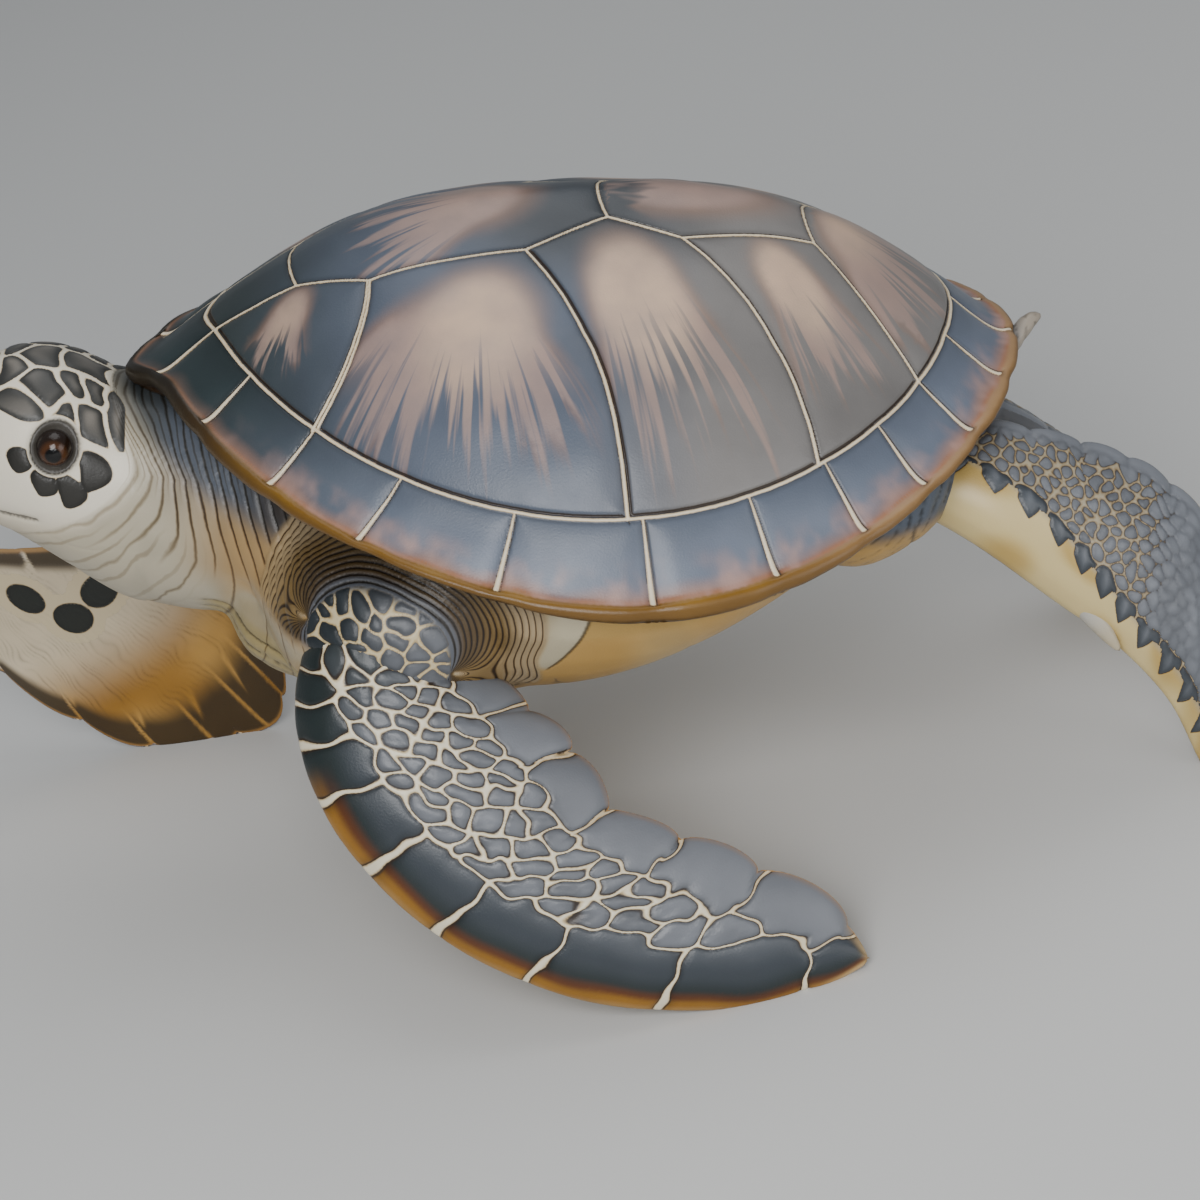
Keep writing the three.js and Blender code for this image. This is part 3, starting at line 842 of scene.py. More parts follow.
RIGHT_FRONT = {
    "lead": [
        (-140, 110, -40), (-214, 158, -70), (-270, 166, -124), (-330, 172, -168), (-400, 182, -196),
        (-470, 196, -206), (-530, 208, -212), (-566, 214, -222),
    ],
    "trail": [
        (-76, 110, -60), (-150, 150, -158), (-226, 150, -266), (-240, 166, -350), (-330, 178, -386),
        (-414, 184, -352), (-500, 198, -282), (-566, 214, -222),
    ],
    "thickness": [60, 54, 42, 36, 32, 26, 16, 6],
    "camber": [8, 10, 12, 12, 10, 8, 4, 0],
    "face": 1,
    "lead_seams": [0.0, 0.07, 0.14, 0.21, 0.28, 0.35, 0.42, 0.49, 0.56, 0.64, 0.74, 0.86, 1.0],
    "trail_seams": [0.0, 0.13, 0.2, 0.26, 0.32, 0.39, 0.485, 0.585, 0.68, 0.78, 0.88, 1.0],
    "lead_depth": [12, 14, 26, 44, 56, 60, 60, 60, 60, 50, 36, 16],
    "trail_depth": [12, 18, 34, 44, 46, 46, 46, 44, 40, 30, 14, 4],
    "scallop": 9,
    "grain": ([22, 20, 22, 26, 30, 30], [13, 13, 17, 20, 22, 22]),
    "lean": [90, 70, 45, 20, 10, 0],
    "net": 0.95,
    "bare": 0.08,
    "band": [0, 0],
    "under_depth": [30, 56, 80, 92, 76, 42, 30, 24, 20, 12],
    "under_seams": [0.0, 0.1, 0.16, 0.22, 0.275, 0.33, 0.385, 0.445, 0.51, 0.585, 0.68, 0.78, 0.88, 1.0],
    # Dark ovals of the underside: along, in from the leading edge, half the length and half the width.
    "ovals": [(362, 44, 21, 13), (396, 66, 20, 13), (334, 26, 14, 9), (430, 46, 18, 13), (464, 30, 15, 10)],
}
LEFT_REAR = {
    "lead": [
        (190, -60, -20), (262, -116, -36), (328, -134, -80), (370, -138, -112), (410, -138, -158),
        (436, -132, -210), (448, -126, -234),
    ],
    "trail": [
        (190, -40, 10), (270, -60, 30), (340, -70, 20), (400, -76, -4), (452, -84, -62),
        (466, -104, -148), (448, -126, -234),
    ],
    "thickness": [50, 50, 44, 36, 28, 20, 8],
    "camber": [4, 6, 8, 8, 6, 3, 0],
    "face": -1,
    "lead_seams": [
        0.0, 0.06, 0.12, 0.178, 0.226, 0.278, 0.33, 0.385, 0.44, 0.5, 0.57, 0.64, 0.72, 0.8, 0.9, 1.0,
    ],
    "trail_seams": [0.0, 0.08, 0.17, 0.26, 0.35, 0.44, 0.53, 0.62, 0.71, 0.8, 0.9, 1.0],
    "lead_depth": [14, 15, 17, 19, 19, 18, 17, 16, 14, 8],
    "trail_depth": [4, 4, 5, 6, 8, 10, 12, 10, 8, 5],
    "scallop": 4,
    "grain": ([10.5, 10.5, 11, 12, 13, 13], [8, 8, 8.5, 9.5, 10.5, 10.5]),
    "lean": [60, 60, 45, 30, 20, 0],
    "net": 0.45,
    "bare": 0.0,
    "band": [34, 38, 41, 35, 22, 11, 7, 5, 4, 3, 2],
    "under_depth": [7, 7],
}
RIGHT_REAR = {
    **LEFT_REAR,
    "lead": [
        (190, 60, -30), (256, 108, -60), (316, 124, -112), (360, 130, -158), (396, 132, -196),
        (424, 128, -222), (440, 122, -234),
    ],
    "trail": [
        (190, 40, 0), (270, 62, -10), (344, 72, -48), (404, 78, -96), (450, 84, -146),
        (460, 100, -196), (440, 122, -234),
    ],
    "face": 1,
}
LEAD_PLATE, TRAIL_PLATE, SMALL_SCALE = 0, 1, 2


def plate_swell(u, seams):
    """0 at each seam along an edge, rounding up to 1 between two."""
    return np.sqrt(np.abs(np.sin(math.pi * np.interp(u, seams, np.arange(len(seams))))))


def across_blade(v):
    """How far from the leading edge towards the trailing one, from 0 to 1."""
    return (1 - np.cos(math.tau * v)) / 2


def is_upper(v):
    return np.sin(math.tau * v) >= 0


def one(values, u):
    """A sampled value at a single place."""
    return float(sample(values, np.array([u]))[0])


def in_drop(p, site):
    """How far inside its dark drop each place lies. Drops point down, over the leading edge's bare skin."""
    middle = (site[:, 0:2] + site[:, 2:4]) / 2
    down = middle[:, 1] - p[:, 1]
    narrow = 8.2 - 0.5 * np.maximum(down, 0) - 0.02 * down**2
    return np.minimum(narrow - np.abs(p[:, 0] - middle[:, 0]), 11 - down)


class Flipper:
    def __init__(self, shape):
        self.shape = shape
        self.lead, self.trail = curve(shape["lead"]), curve(shape["trail"])
        self.under_seams = shape.get("under_seams", shape["trail_seams"])
        self.has_drops = max(shape["band"]) > 20
        self.dark_line = 0.35 if self.has_drops else 0.8
        self.steps = np.linspace(0, 1, 201)
        lead, trail = self.lead(self.steps), self.trail(self.steps)
        pieces = np.linalg.norm(np.diff((lead + trail) / 2, axis=0), axis=1)
        self.reach = np.concatenate([[0], np.cumsum(pieces)])
        self.width = np.linalg.norm(lead - trail, axis=1)
        self.sites, self.kinds = self.scales()

    def along(self, u):
        return np.interp(u, self.steps, self.reach)

    def wide(self, u):
        return np.interp(u, self.steps, self.width)

    def place(self, u, v):
        s = self.shape
        l, r = self.lead(u), self.trail(u)
        after, before = np.minimum(u + 0.002, 1), np.maximum(u - 0.002, 0)
        forward = self.lead(after) + self.trail(after) - self.lead(before) - self.trail(before)
        chord = r - l
        up = np.cross(chord, forward)
        up *= s["face"] / np.maximum(np.linalg.norm(up, axis=1), 1e-9)[:, None]
        a = across_blade(v)
        profile = 2.1 * np.sqrt(a) * (1 - a) ** 0.75
        fade = smooth(u, 0, 0.04) * (1 - smooth(u, 0.96, 1) ** 2)
        half = sample(s["thickness"], u) / 2 * profile * fade
        camber = sample(s["camber"], u) * 4 * a * (1 - a)
        out = s["scallop"] * (plate_swell(u, s["trail_seams"]) - 0.6) * smooth(a, 0.55, 1)
        out = out - 1.6 * (plate_swell(u, s["lead_seams"]) - 0.6) * (1 - smooth(a, 0, 0.3))
        out *= fade / np.maximum(np.linalg.norm(chord, axis=1), 1)
        p = l + chord * (a * (1 + out))[:, None] + up * (camber + np.where(is_upper(v), half, -half))[:, None]
        return self.rounded(u, p, *s["round_tip"]) if "round_tip" in s else p

    def rounded(self, u, p, back, radius):
        """The places, with those past the rounded tip drawn in to it."""
        tip, last = self.lead(np.ones(1)), np.array([0.9])
        inward = self.lead(last) + self.trail(last) - 2 * tip
        inward /= np.linalg.norm(inward)
        off = p - (tip + back * inward)
        far = np.maximum(np.linalg.norm(off, axis=1), 1e-6)
        beyond = (u > 0.7) & (-(off @ inward[0]) > 0.62 * far) & (far > radius)
        return np.where(beyond[:, None], p - off * (1 - radius / far)[:, None], p)

    def flat(self, u, v):
        return np.column_stack([self.along(u), (across_blade(v) - 0.5) * self.wide(u)])

    def edge_plates(self, kind):
        """The row of plates along the leading or the trailing edge, on the flat pattern."""
        s = self.shape
        side, name = ((-1, "lead"), (1, "trail"))[kind]
        seams, depths = s[name + "_seams"], s[name + "_depth"]
        for start, end in zip(seams[:-1], seams[1:]):
            depth = one(depths, (start + end) / 2)
            half = one(s["grain"][1], (start + end) / 2) / 2
            run = float(self.along(end)) - float(self.along(start))
            inset = min(depth * 0.45 / run, 0.42) * (end - start)
            ends = []
            for u in (start + inset, end - inset):
                wide = float(self.wide(u))
                band = one(s["band"], u) if kind == LEAD_PLATE else 0
                ends += [float(self.along(u)), side * (wide / 2 - (band + min(one(depths, u), wide) / 2))]
            yield (*ends, max(depth / 2 - half, 0.5))

    def small_scales(self):
        """Scales in rows across the blade, between the plates of its two edges."""
        s = self.shape
        rng = np.random.default_rng(7)
        x = float(self.along(max(s["bare"] - 0.03, 0)))
        row_number = 0
        while x < self.reach[-1]:
            u = float(np.interp(x, self.reach, self.steps))
            step, row = one(s["grain"][0], u), one(s["grain"][1], u)
            low = -float(self.wide(u)) / 2 + one(s["band"], u) + one(s["lead_depth"], u) + row / 2
            high = float(self.wide(u)) / 2 - one(s["trail_depth"], u) - row / 2
            rows = int((high - low) / row + 0.6) + 1 if high > low - 0.2 * row else 0
            lean = math.radians(one(s["lean"], u))
            for i in range(rows):
                y = (low + high) / 2 if rows == 1 else mix(low, high, i / (rows - 1))
                cx = x + rng.uniform(-0.22, 0.22) * step + 0.5 * step * ((i + row_number) % 2)
                cy = y + rng.uniform(-0.2, 0.2) * row
                stretch = rng.uniform(0.05, 0.3) * step
                turn = lean + rng.uniform(-0.35, 0.35)
                dx, dy = stretch * math.cos(turn), stretch * math.sin(turn)
                yield cx - dx, cy - dy, cx + dx, cy + dy, rng.uniform(0, 0.1) * row
            x += step
            row_number += rows % 2

    def scales(self):
        """Every scale of the upper side as a short line with a radius, and its kind."""
        groups = (self.edge_plates(LEAD_PLATE), self.edge_plates(TRAIL_PLATE), self.small_scales())
        sites, kinds = zip(*((site, kind) for kind, group in enumerate(groups) for site in group))
        return np.array(sites), np.array(kinds)

    def upper_lines(self, u, p, k):
        """How far inside its scale each place of the upper side is."""
        s = self.shape
        row = sample(s["grain"][1], u)
        owner, gap = cells(p + (0.1 * row)[:, None] * ripples(p, 13, (1, 2)), self.sites, 0.8)
        kind = self.kinds[owner]
        leading = kind == LEAD_PLATE
        net = s["net"] * np.where(kind == SMALL_SCALE, 1.0, np.where(leading, 1.25, 1.1))
        net = net * mix(0.72, 1, smooth(u, 0.12, 0.3))
        flare = mix(-0.35, 1.0, smooth(u, 0.15, 0.5)) * (1 - smooth(k["from_lead"], 5, 30))
        net = net + flare * leading * (s["net"] > 0.8)
        edge = gap - net * (1 + 0.14 * ripple(p, 26, 4))
        drop = np.full(len(u), NO_LINE)
        if self.has_drops:
            drop = np.where(leading, in_drop(p, self.sites[owner]), NO_LINE)
            edge = np.minimum(edge, np.where(k["from_lead"] < k["band"] + 11, drop, NO_LINE))
            fade = np.maximum(1 - smooth(k["from_trail"], 3, 14), 0.8 * smooth(u, 0.46, 0.6))
            edge = np.where(leading, edge, edge + 2.2 * fade)
        tint = np.random.default_rng(3).uniform(0.9, 1.08, len(self.sites))[owner]
        k.update(kind=kind, drop=drop, tint=tint)
        return edge + 5 * (1 - smooth(u, s["bare"] - 0.012, s["bare"] + 0.01))

    def upper_relief(self, p, edge, k):
        small = k["kind"] == SMALL_SCALE
        swell = np.where(small, 0.2 + self.dark_line, 1.7)
        relief = swell * (1 - np.exp(-np.maximum(edge, 0) / np.where(small, 2.6, 5)))
        relief = relief + 0.4 * np.sqrt(np.clip(-edge, 0, 2) / 2) * np.where(k["drop"] < NO_LINE, 0.2, 1)
        relief -= 0.6 * bell(edge - 0.4, 0.6)
        return relief + (0.22 * ripple(p, 11, 6) + 0.15 * ripple(p, 5, 16)) * small

    def under_relief(self, u, p, k):
        """The underside: dark plates round its edge, thin seams between them, and a creased golden middle."""
        s = self.shape
        x, inward = self.along(u), k["inward"]
        nearer_lead = k["from_lead"] < k["from_trail"]
        slant = np.where(nearer_lead, 0.2, -0.25) * inward
        both = [
            (np.min([np.abs(x + slant - self.along(t)) for t in seams], axis=0), plate_swell(u, seams))
            for seams in (s["lead_seams"], self.under_seams)
        ]
        seam, swell = (np.where(nearer_lead, *pair) for pair in zip(*both))
        deep = sample(s["under_depth"], u) * np.where(nearer_lead, 0.6, 1)
        reach = deep * (0.6 + 0.42 * smooth(swell, 0, 0.6))
        plate = (1 - smooth(inward, reach * 0.62, reach * 1.12)) * smooth(seam, 0.4, 2.4)
        plate *= smooth(inward, 0.5, 4)
        phase = (p[:, 0] + 0.5 * p[:, 1]) / 6.5 + 0.8 * ripple(p, 30, 18) + 0.25 * ripple(p, 11, 20)
        share = (1 - plate) * smooth(inward, 8, 22) * (0.45 + 0.5 * ripple(p, 17, 19)).clip(0, 1)
        crease = 0.8 * share * np.exp(-line_at(phase) * 6.5 / 0.9)
        oval = np.full(len(u), -NO_LINE)
        for along, inset, long, broad in s.get("ovals", []):
            centre = [along, inset - float(self.wide(np.interp(along, self.reach, self.steps))) / 2]
            q = (p - centre) @ [[0.8, -0.6], [0.6, 0.8]]
            oval = np.maximum(oval, (1 - np.hypot(q[:, 0] / long, q[:, 1] / broad)) * broad)
        k.update(plate=plate, crease=crease, oval=oval)
        return 0.7 * plate - 0.8 * crease - 0.5 * np.exp(-seam / 1.5) * smooth(deep * 1.3 - inward, 0, 6)

    def looks(self, u, v):
        """Line distances, relief and what the paint goes by, for the upper side and the underside."""
        p, a, wide, upper = self.flat(u, v), across_blade(v), self.wide(u), is_upper(v)
        k = {"p": p, "upper": upper, "from_lead": a * wide, "from_trail": (1 - a) * wide}
        k["inward"] = np.minimum(k["from_lead"], k["from_trail"])
        k["band"] = sample(self.shape["band"], u)
        edge = np.where(upper, self.upper_lines(u, p, k), NO_LINE)
        relief = np.where(upper, self.upper_relief(p, edge, k) - 0.8, self.under_relief(u, p, k) - 0.4)
        relief *= mix(0.35, 1, smooth(k["inward"], 0, 5))
        relief -= 1.2 * (1 - smooth(k["from_lead"], 2, 14)) + 0.5 * (1 - smooth(k["from_trail"], 2, 12))
        edge = np.where(upper | (k["oval"] < -9), edge, k["oval"])
        k.update(relief=relief, edge=edge, groove=edge - np.where(upper, self.dark_line, 0))
        return k

    def build(self, name, material, paint, finest, along, around):
        def size(u, v):
            k = self.looks(u, v)
            fine = np.clip(finest + 0.45 * np.minimum(np.abs(k["edge"]), 12), finest, 3.6)
            fine = np.where(k["upper"], fine, 2.2)
            return np.where(u < self.shape["bare"] - 0.04, 6.0, fine)

        u, v, p, tri = wound(self.place, size, along, around)
        k = self.looks(u, v)
        p = p + unit_normals(p, tri) * k["relief"][:, None]
        colour, line = paint(u, k)
        looks = {"undercoat": colour, "line": line, "cream_mm": k["edge"], "dark_mm": k["groove"]}
        finished(name, p, tri, material, looks)


def front_paint(u, k):
    """Slate above, black and amber towards the leading edge; gold below with dark plates round it."""
    p, lead, trail, inward = k["p"], k["from_lead"], k["from_trail"], k["inward"]
    wave = 2.5 * ripple(p, 40, 21)
    leading = k["kind"] == LEAD_PLATE
    glow = smooth(u, 0.31, 0.38) * leading
    base = coats(
        STEEL * k["tint"][:, None],
        (STEEL * 0.62, 0.5 * smooth(ripple(p, 30, 22), 0.2, 1.4) * (k["kind"] == SMALL_SCALE)),
        (NIGHT, leading * (1 - 0.5 * smooth(lead + wave, 36, 68))),
        (BLACK, leading * (1 - smooth(lead + wave, 16, 36))),
        (BLACK, (1 - smooth(u, 0.12, 0.36)) * mix(0.95, 0.4, smooth(lead, 40, 90))),
        (rgb(92, 48, 14), 0.85 * glow * (1 - smooth(lead + wave, 12, 21))),
        (rgb(142, 98, 22), glow * (1 - smooth(lead + wave, 6, 13))),
        (rgb(168, 130, 70), 0.6 * glow * (1 - smooth(lead + wave, 0, 5))),
        (rgb(150, 112, 70), 0.3 * (1 - smooth(trail, 1, 4)) * (k["kind"] == TRAIL_PLATE)),
        (rgb(206, 176, 126), 0.85 * (smooth(u, 0.84, 0.98) * (1 - smooth(inward + wave, 4, 15)))),
    )
    pale = smooth(150 - lead + 0.35 * (p[:, 0] - 330), 20, 95) * smooth(p[:, 0], 240, 330)
    gold = coats(
        GOLD,
        (HONEY, 0.5 * smooth(ripple(p, 50, 31), -0.8, 0.9)),
        (rgb(206, 192, 166), 0.92 * pale),
        (GOLD * 0.8, 0.6 * (1 - smooth(u, 0.3, 0.46))),
    )
    low = coats(
        gold * (1 - 0.45 * k["crease"])[:, None],
        (rgb(50, 38, 20), k["plate"] * 0.94),
        (rgb(150, 108, 50), 0.8 * (1 - smooth(inward, 1.5, 5))),
        (rgb(34, 36, 32), smooth(k["oval"], -1, 0)),
    )
    line = coats(CREAM, (rgb(196, 172, 130), 0.6 * smooth(trail, 60, 10)))
    upper = k["upper"][:, None]
    return np.where(upper, base, low), np.where(upper, line, rgb(200, 184, 152))


def rear_paint(u, k):
    """Slate scales above, with dark drops over the leading edge's pale skin; that skin and gold below."""
    p, lead = k["p"], k["from_lead"]
    base = coats(
        coats(STEEL * 1.26, (STEEL * 1.06, smooth(ripple(p, 40, 41), -0.5, 0.9))) * k["tint"][:, None],
        (NIGHT, 0.85 * (k["kind"] == LEAD_PLATE) * smooth(k["drop"], 12, 3)),
        (NIGHT, 0.7 * smooth(u, 0.5, 0.95)),
    )
    skin = coats(rgb(200, 180, 128), (rgb(178, 150, 88), smooth(ripple(p, 34, 42) + u * 2, 0.2, 1.6)))
    low = coats(
        skin,
        (HONEY, 0.5 * smooth(lead, 30, 70)),
        (STEEL * 0.8, 1 - smooth(u, 0.2, 0.36)),
        (STEEL * 0.8, smooth(k["from_trail"], 44, 22) * smooth(u, 0.66, 0.5)),
    )
    line = coats(rgb(158, 147, 124), (skin, 1 - smooth(lead - k["band"], 6, 14)))
    upper = k["upper"][:, None]
    return np.where(upper, base, low), np.where(upper, line, low)


front_finish = hand_paint("painted_front_flipper")
rear_finish = hand_paint("painted_rear_flipper")
Flipper(LEFT_FRONT).build("left_front_flipper", front_finish, front_paint, 1.05, 100, 56)
Flipper(RIGHT_FRONT).build("right_front_flipper", front_finish, front_paint, 1.5, 90, 56)
Flipper(LEFT_REAR).build("left_rear_flipper", rear_finish, rear_paint, 1.0, 70, 44)
Flipper(RIGHT_REAR).build("right_rear_flipper", rear_finish, rear_paint, 1.1, 70, 44)

# ---- Body: neck, chest, belly, shoulders, hips and tail in one skin ----
def oval(axis, wide, above, below):
    """A skin of ovals round an axis, with their half widths and how far they reach above and below it."""
    axis = curve(axis)

    def place(u, v):
        turn = math.tau * v
        tall = np.where(np.sin(turn) > 0, sample(above, u), sample(below, u))
        off = np.column_stack([np.zeros(len(u)), sample(wide, u) * np.cos(turn), tall * np.sin(turn)])
        return axis(u) + off

    return place


def head_and_neck():
    axis = [
        (-120, 0, -50), (-200, 0, -44), (-262, 0, -42), (-300, 0, -40), (-330, 0, -34), (-358, 0, -22),
        (-386, 0, -12), (-414, 0, -8), (-440, 0, -12), (-462, 0, -18), (-478, 0, -26),
    ]
    wide = [0, 108, 92, 80, 74, 72, 70, 60, 46, 30, 0]
    above, below = [0, 84, 88, 82, 76, 80, 76, 68, 54, 36, 0], [0, 94, 95, 95, 95, 88, 75, 61, 46, 29, 0]
    return oval(axis, wide, above, below)


def chest():
    axis = [(-272, 0, -112), (-246, 0, -112), (-190, 0, -110), (-120, 0, -106), (-30, 0, -100), (70, 0, -90)]
    return oval(axis, [0, 104, 150, 172, 150, 0], [0, 40, 80, 90, 80, 0], [0, 34, 54, 62, 60, 0])


def tail():
    axis = [(210, 0, 26), (262, 0, 34), (298, 5, 49), (317, 13, 67), (337, 21, 77)]
    return oval(axis, [0, 34, 19, 12, 0], [0, 22, 11, 11, 0], [0, 26, 14, 11, 0])


def shoulder(side):
    axis = [
        (-238, side * 104, -70), (-205, side * 118, -70), (-140, side * 134, -68), (-60, side * 130, -70),
        (0, side * 116, -70),
    ]
    return oval(axis, [0, 62, 84, 66, 0], [0, 48, 62, 56, 0], [0, 58, 74, 58, 0])


def hip(side):
    axis = [(120, side * 70, -10), (170, side * 80, -10), (230, side * 84, 0), (280, side * 84, 6)]
    return oval(axis, [0, 60, 52, 0], [0, 44, 40, 0], [0, 56, 44, 0])


def belly_core(u, v):
    """What fills the shell, from the middle of its top at u = 0 to the middle of its underside at u = 1."""
    share = np.where(u < 0.5, 0.86 * np.minimum(u / 0.4, 1), 0.86 * (1 - u) / 0.5)
    along, y = in_plan(share, v)
    top = 0.5 * dome(along, share, 60) - 12
    low = underside(along, share)
    z = np.where(u < 0.4, top, np.where(u < 0.5, mix(top, low, (u - 0.4) / 0.1), low))
    return np.column_stack([x_mm(along), y, z])


def fused(skins, voxel, soften):
    """The skins joined into one by remeshing, with the joins softened. Places come back in millimetres."""
    mesh = bpy.data.meshes.new("cast")
    places, faces, count = [], [], 0
    for place, along, around in skins:
        p, tri = wound(place, as_it_is, along, around, rounds=0)[2:]
        places.append(p)
        faces.append(tri + count)
        count += len(p)
    mesh.from_pydata(np.vstack(places).tolist(), [], np.vstack(faces).tolist())
    cast = placed("cast", mesh)
    remesh = cast.modifiers.new("remesh", "REMESH")
    remesh.mode = "VOXEL"
    remesh.voxel_size = voxel
    settle = cast.modifiers.new("soften", "SMOOTH")
    settle.factor = 0.5
    settle.iterations = soften
    whole = cast.evaluated_get(bpy.context.evaluated_depsgraph_get()).to_mesh()
    whole.calc_loop_triangles()
    p = np.empty(len(whole.vertices) * 3, np.float32)
    whole.vertices.foreach_get("co", p)
    tri = np.empty(len(whole.loop_triangles) * 3, np.int32)
    whole.loop_triangles.foreach_get("vertices", tri)
    bpy.data.objects.remove(cast)
    return p.reshape(-1, 3).astype(float), tri.reshape(-1, 3).astype(int)


def relaxed(p, tri, turns):
    """The places, each moved towards the middle of its neighbours a few times."""
    pairs = sides(tri)
    pairs = np.vstack([pairs, pairs[:, ::-1]])
    count = np.bincount(pairs[:, 0], minlength=len(p))[:, None]
    for _ in range(turns):
        total = np.column_stack([np.bincount(pairs[:, 0], p[pairs[:, 1], k], len(p)) for k in range(3)])
        p = mix(p, total / np.maximum(count, 1), 0.5)
    return p


# The front and the back end of each front flipper's root, which the shoulder's folds all run between.
LEFT_ROOT = np.array([(-194.0, -183, -50), (-98.0, -211, -77)])
RIGHT_ROOT = np.array([(-208.0, 172, -60), (-156.0, 166, -132)])
EYE = np.array([-371.0, 61, 20])
EYE_RADIUS = 13.2
# Scales of the head's cap: two ends and a radius, in millimetres along the head and round from its midline.
CAP_SCALES = [
    (-346, 46, -343, 57, 6.5), (-332, 28, -328, 53, 4.8), (-345, 22, -341, 30, 4.6),
    (-359, 24, -356, 27, 4.6), (-363, 48, -363, 52, 4.5), (-356, 0, -342, 0, 8.0), (-380, 34, -374, 38, 8.5),
    (-386, 0, -380, 0, 9.0), (-404, 12, -400, 12, 7.0), (-404, -12, -400, -12, 7.0),
    (-422, 9, -418, 10, 6.0), (-422, -9, -418, -10, 6.0), (-386, 52, -390, 46, 5.0),
]
# Dark drops on the cheek: the middle, the lean of the drop, half its length and half its width.
CHEEK_DROPS = [
    (-345, 86.5, -0.36, 16, 11), (-361, 108, -0.3, 14, 10), (-380, 106, -0.2, 11, 9), (-396, 92, 0, 10, 8.5),
]
RING_GAP = 8.2  # between two rings of the neck
FOLDS = 13  # of each shoulder, in one run from its scales to its outermost fold
PLASTRON_SEAMS = (-196, -118, -30, 62, 148, 214)


def root_place(p):
    """Each place as seen from the front end of its side's flipper root, the root's direction and its span."""
    left = (p[:, 1] < 0)[:, None]
    a, b = (np.where(left, LEFT_ROOT[k], RIGHT_ROOT[k]) for k in (0, 1))
    span = np.linalg.norm(b - a, axis=1)
    return p - a, (b - a) / span[:, None], span


def fold_place(p):
    """Which of the shoulder's folds each place lies on: 0 at the scales, 1 at the outermost.

    Every fold is an arch between the two ends of the flipper's root. The outer ones bulge past both ends.
    """
    q, run, span = root_place(p)
    along = (q * run).sum(1)
    off = np.sqrt(np.maximum((q * q).sum(1) - along**2, 0)) / span
    along = along / span
    folds = np.linspace(-0.7, 1.7, 97)
    radius = 0.5 + 0.45 * np.maximum(folds, 0) ** 1.3
    angle = np.arcsin(0.5 / radius) + 1.6 * np.maximum(-folds, 0)
    squash = 0.5 / np.tan(angle / 2) / (0.42 + 0.48 * folds)
    low, high = np.full(len(p), folds[0]), np.full(len(p), folds[-1])
    for _ in range(14):
        middle = (low + high) / 2
        tall = off * np.interp(middle, folds, squash)
        seen = np.arctan2(along, tall) + np.arctan2(1 - along, tall)
        within = seen > np.interp(middle, folds, angle)
        low, high = np.where(within, low, middle), np.where(within, middle, high)
    return middle


def neck_reach(p):
    """Where each place's ring crosses the side of the neck, along x: the rings bend forward under the jaw."""
    x, z = p[:, 0], p[:, 2]
    above, below = np.maximum(z, 0), np.maximum(-z, 0)
    low, high = np.full(len(p), -420.0), np.full(len(p), -60.0)
    at = lambda c, *values: np.interp(c, (-312, -300, -288, -258, -220), values)
    for _ in range(24):
        c = (low + high) / 2
        drop = np.maximum(at(c, 20, 0, -22, -60, -80) - z, 0)
        bent = at(c, 0.016, 0.012, 0.008, 0.004, 0.002) * np.square(drop)
        ring = c - at(c, 0.5, 0.75, 0.65, 0.25, 0.2) * above + at(c, 0, 0, 0.04, 0.22, 0.22) * below - bent
        low, high = np.where(ring < x, c, low), np.where(ring < x, high, c)
    return c


def head_scales(p):
    """How far inside its scale each place on the head is, and whether the scale is a dark cheek drop."""
    x, y, z = p.T
    axis_z = np.interp(x, [-440, -414, -386, -358, -330, -300], [-12, -8, -12, -22, -34, -40])
    round_mm = 1.3 * np.degrees(np.arctan2(np.abs(y), z - axis_z))
    q = np.column_stack([x, round_mm])
    q += ripples(q, 16, (71, 72))
    gap = cells(q, np.array(CAP_SCALES, float), 0.9)[1]
    rear = -322 - 16 * (1 - smooth(round_mm, 0, 34)) - x
    low = 64.5 - 7 * bell(x + 370, 16) - 20 * smooth(x, -384, -430) - round_mm
    scale = np.minimum(np.minimum(gap - 1.7, rear - 1.0), np.minimum(low, x + 432))
    drop = np.full(len(p), -60.0)
    for cx, cy, lean, long, wide in CHEEK_DROPS:
        dx, dy = q[:, 0] - cx, q[:, 1] - cy
        along, cross = (dy + lean * dx) / math.hypot(1, lean), (dx - lean * dy) / math.hypot(1, lean)
        narrow = wide * (1 - 0.42 * np.clip(along / long, -1, 1))
        drop = np.maximum(drop, (1 - np.hypot(along / long, cross / narrow)) * wide)
    return np.maximum(scale, drop), drop > scale


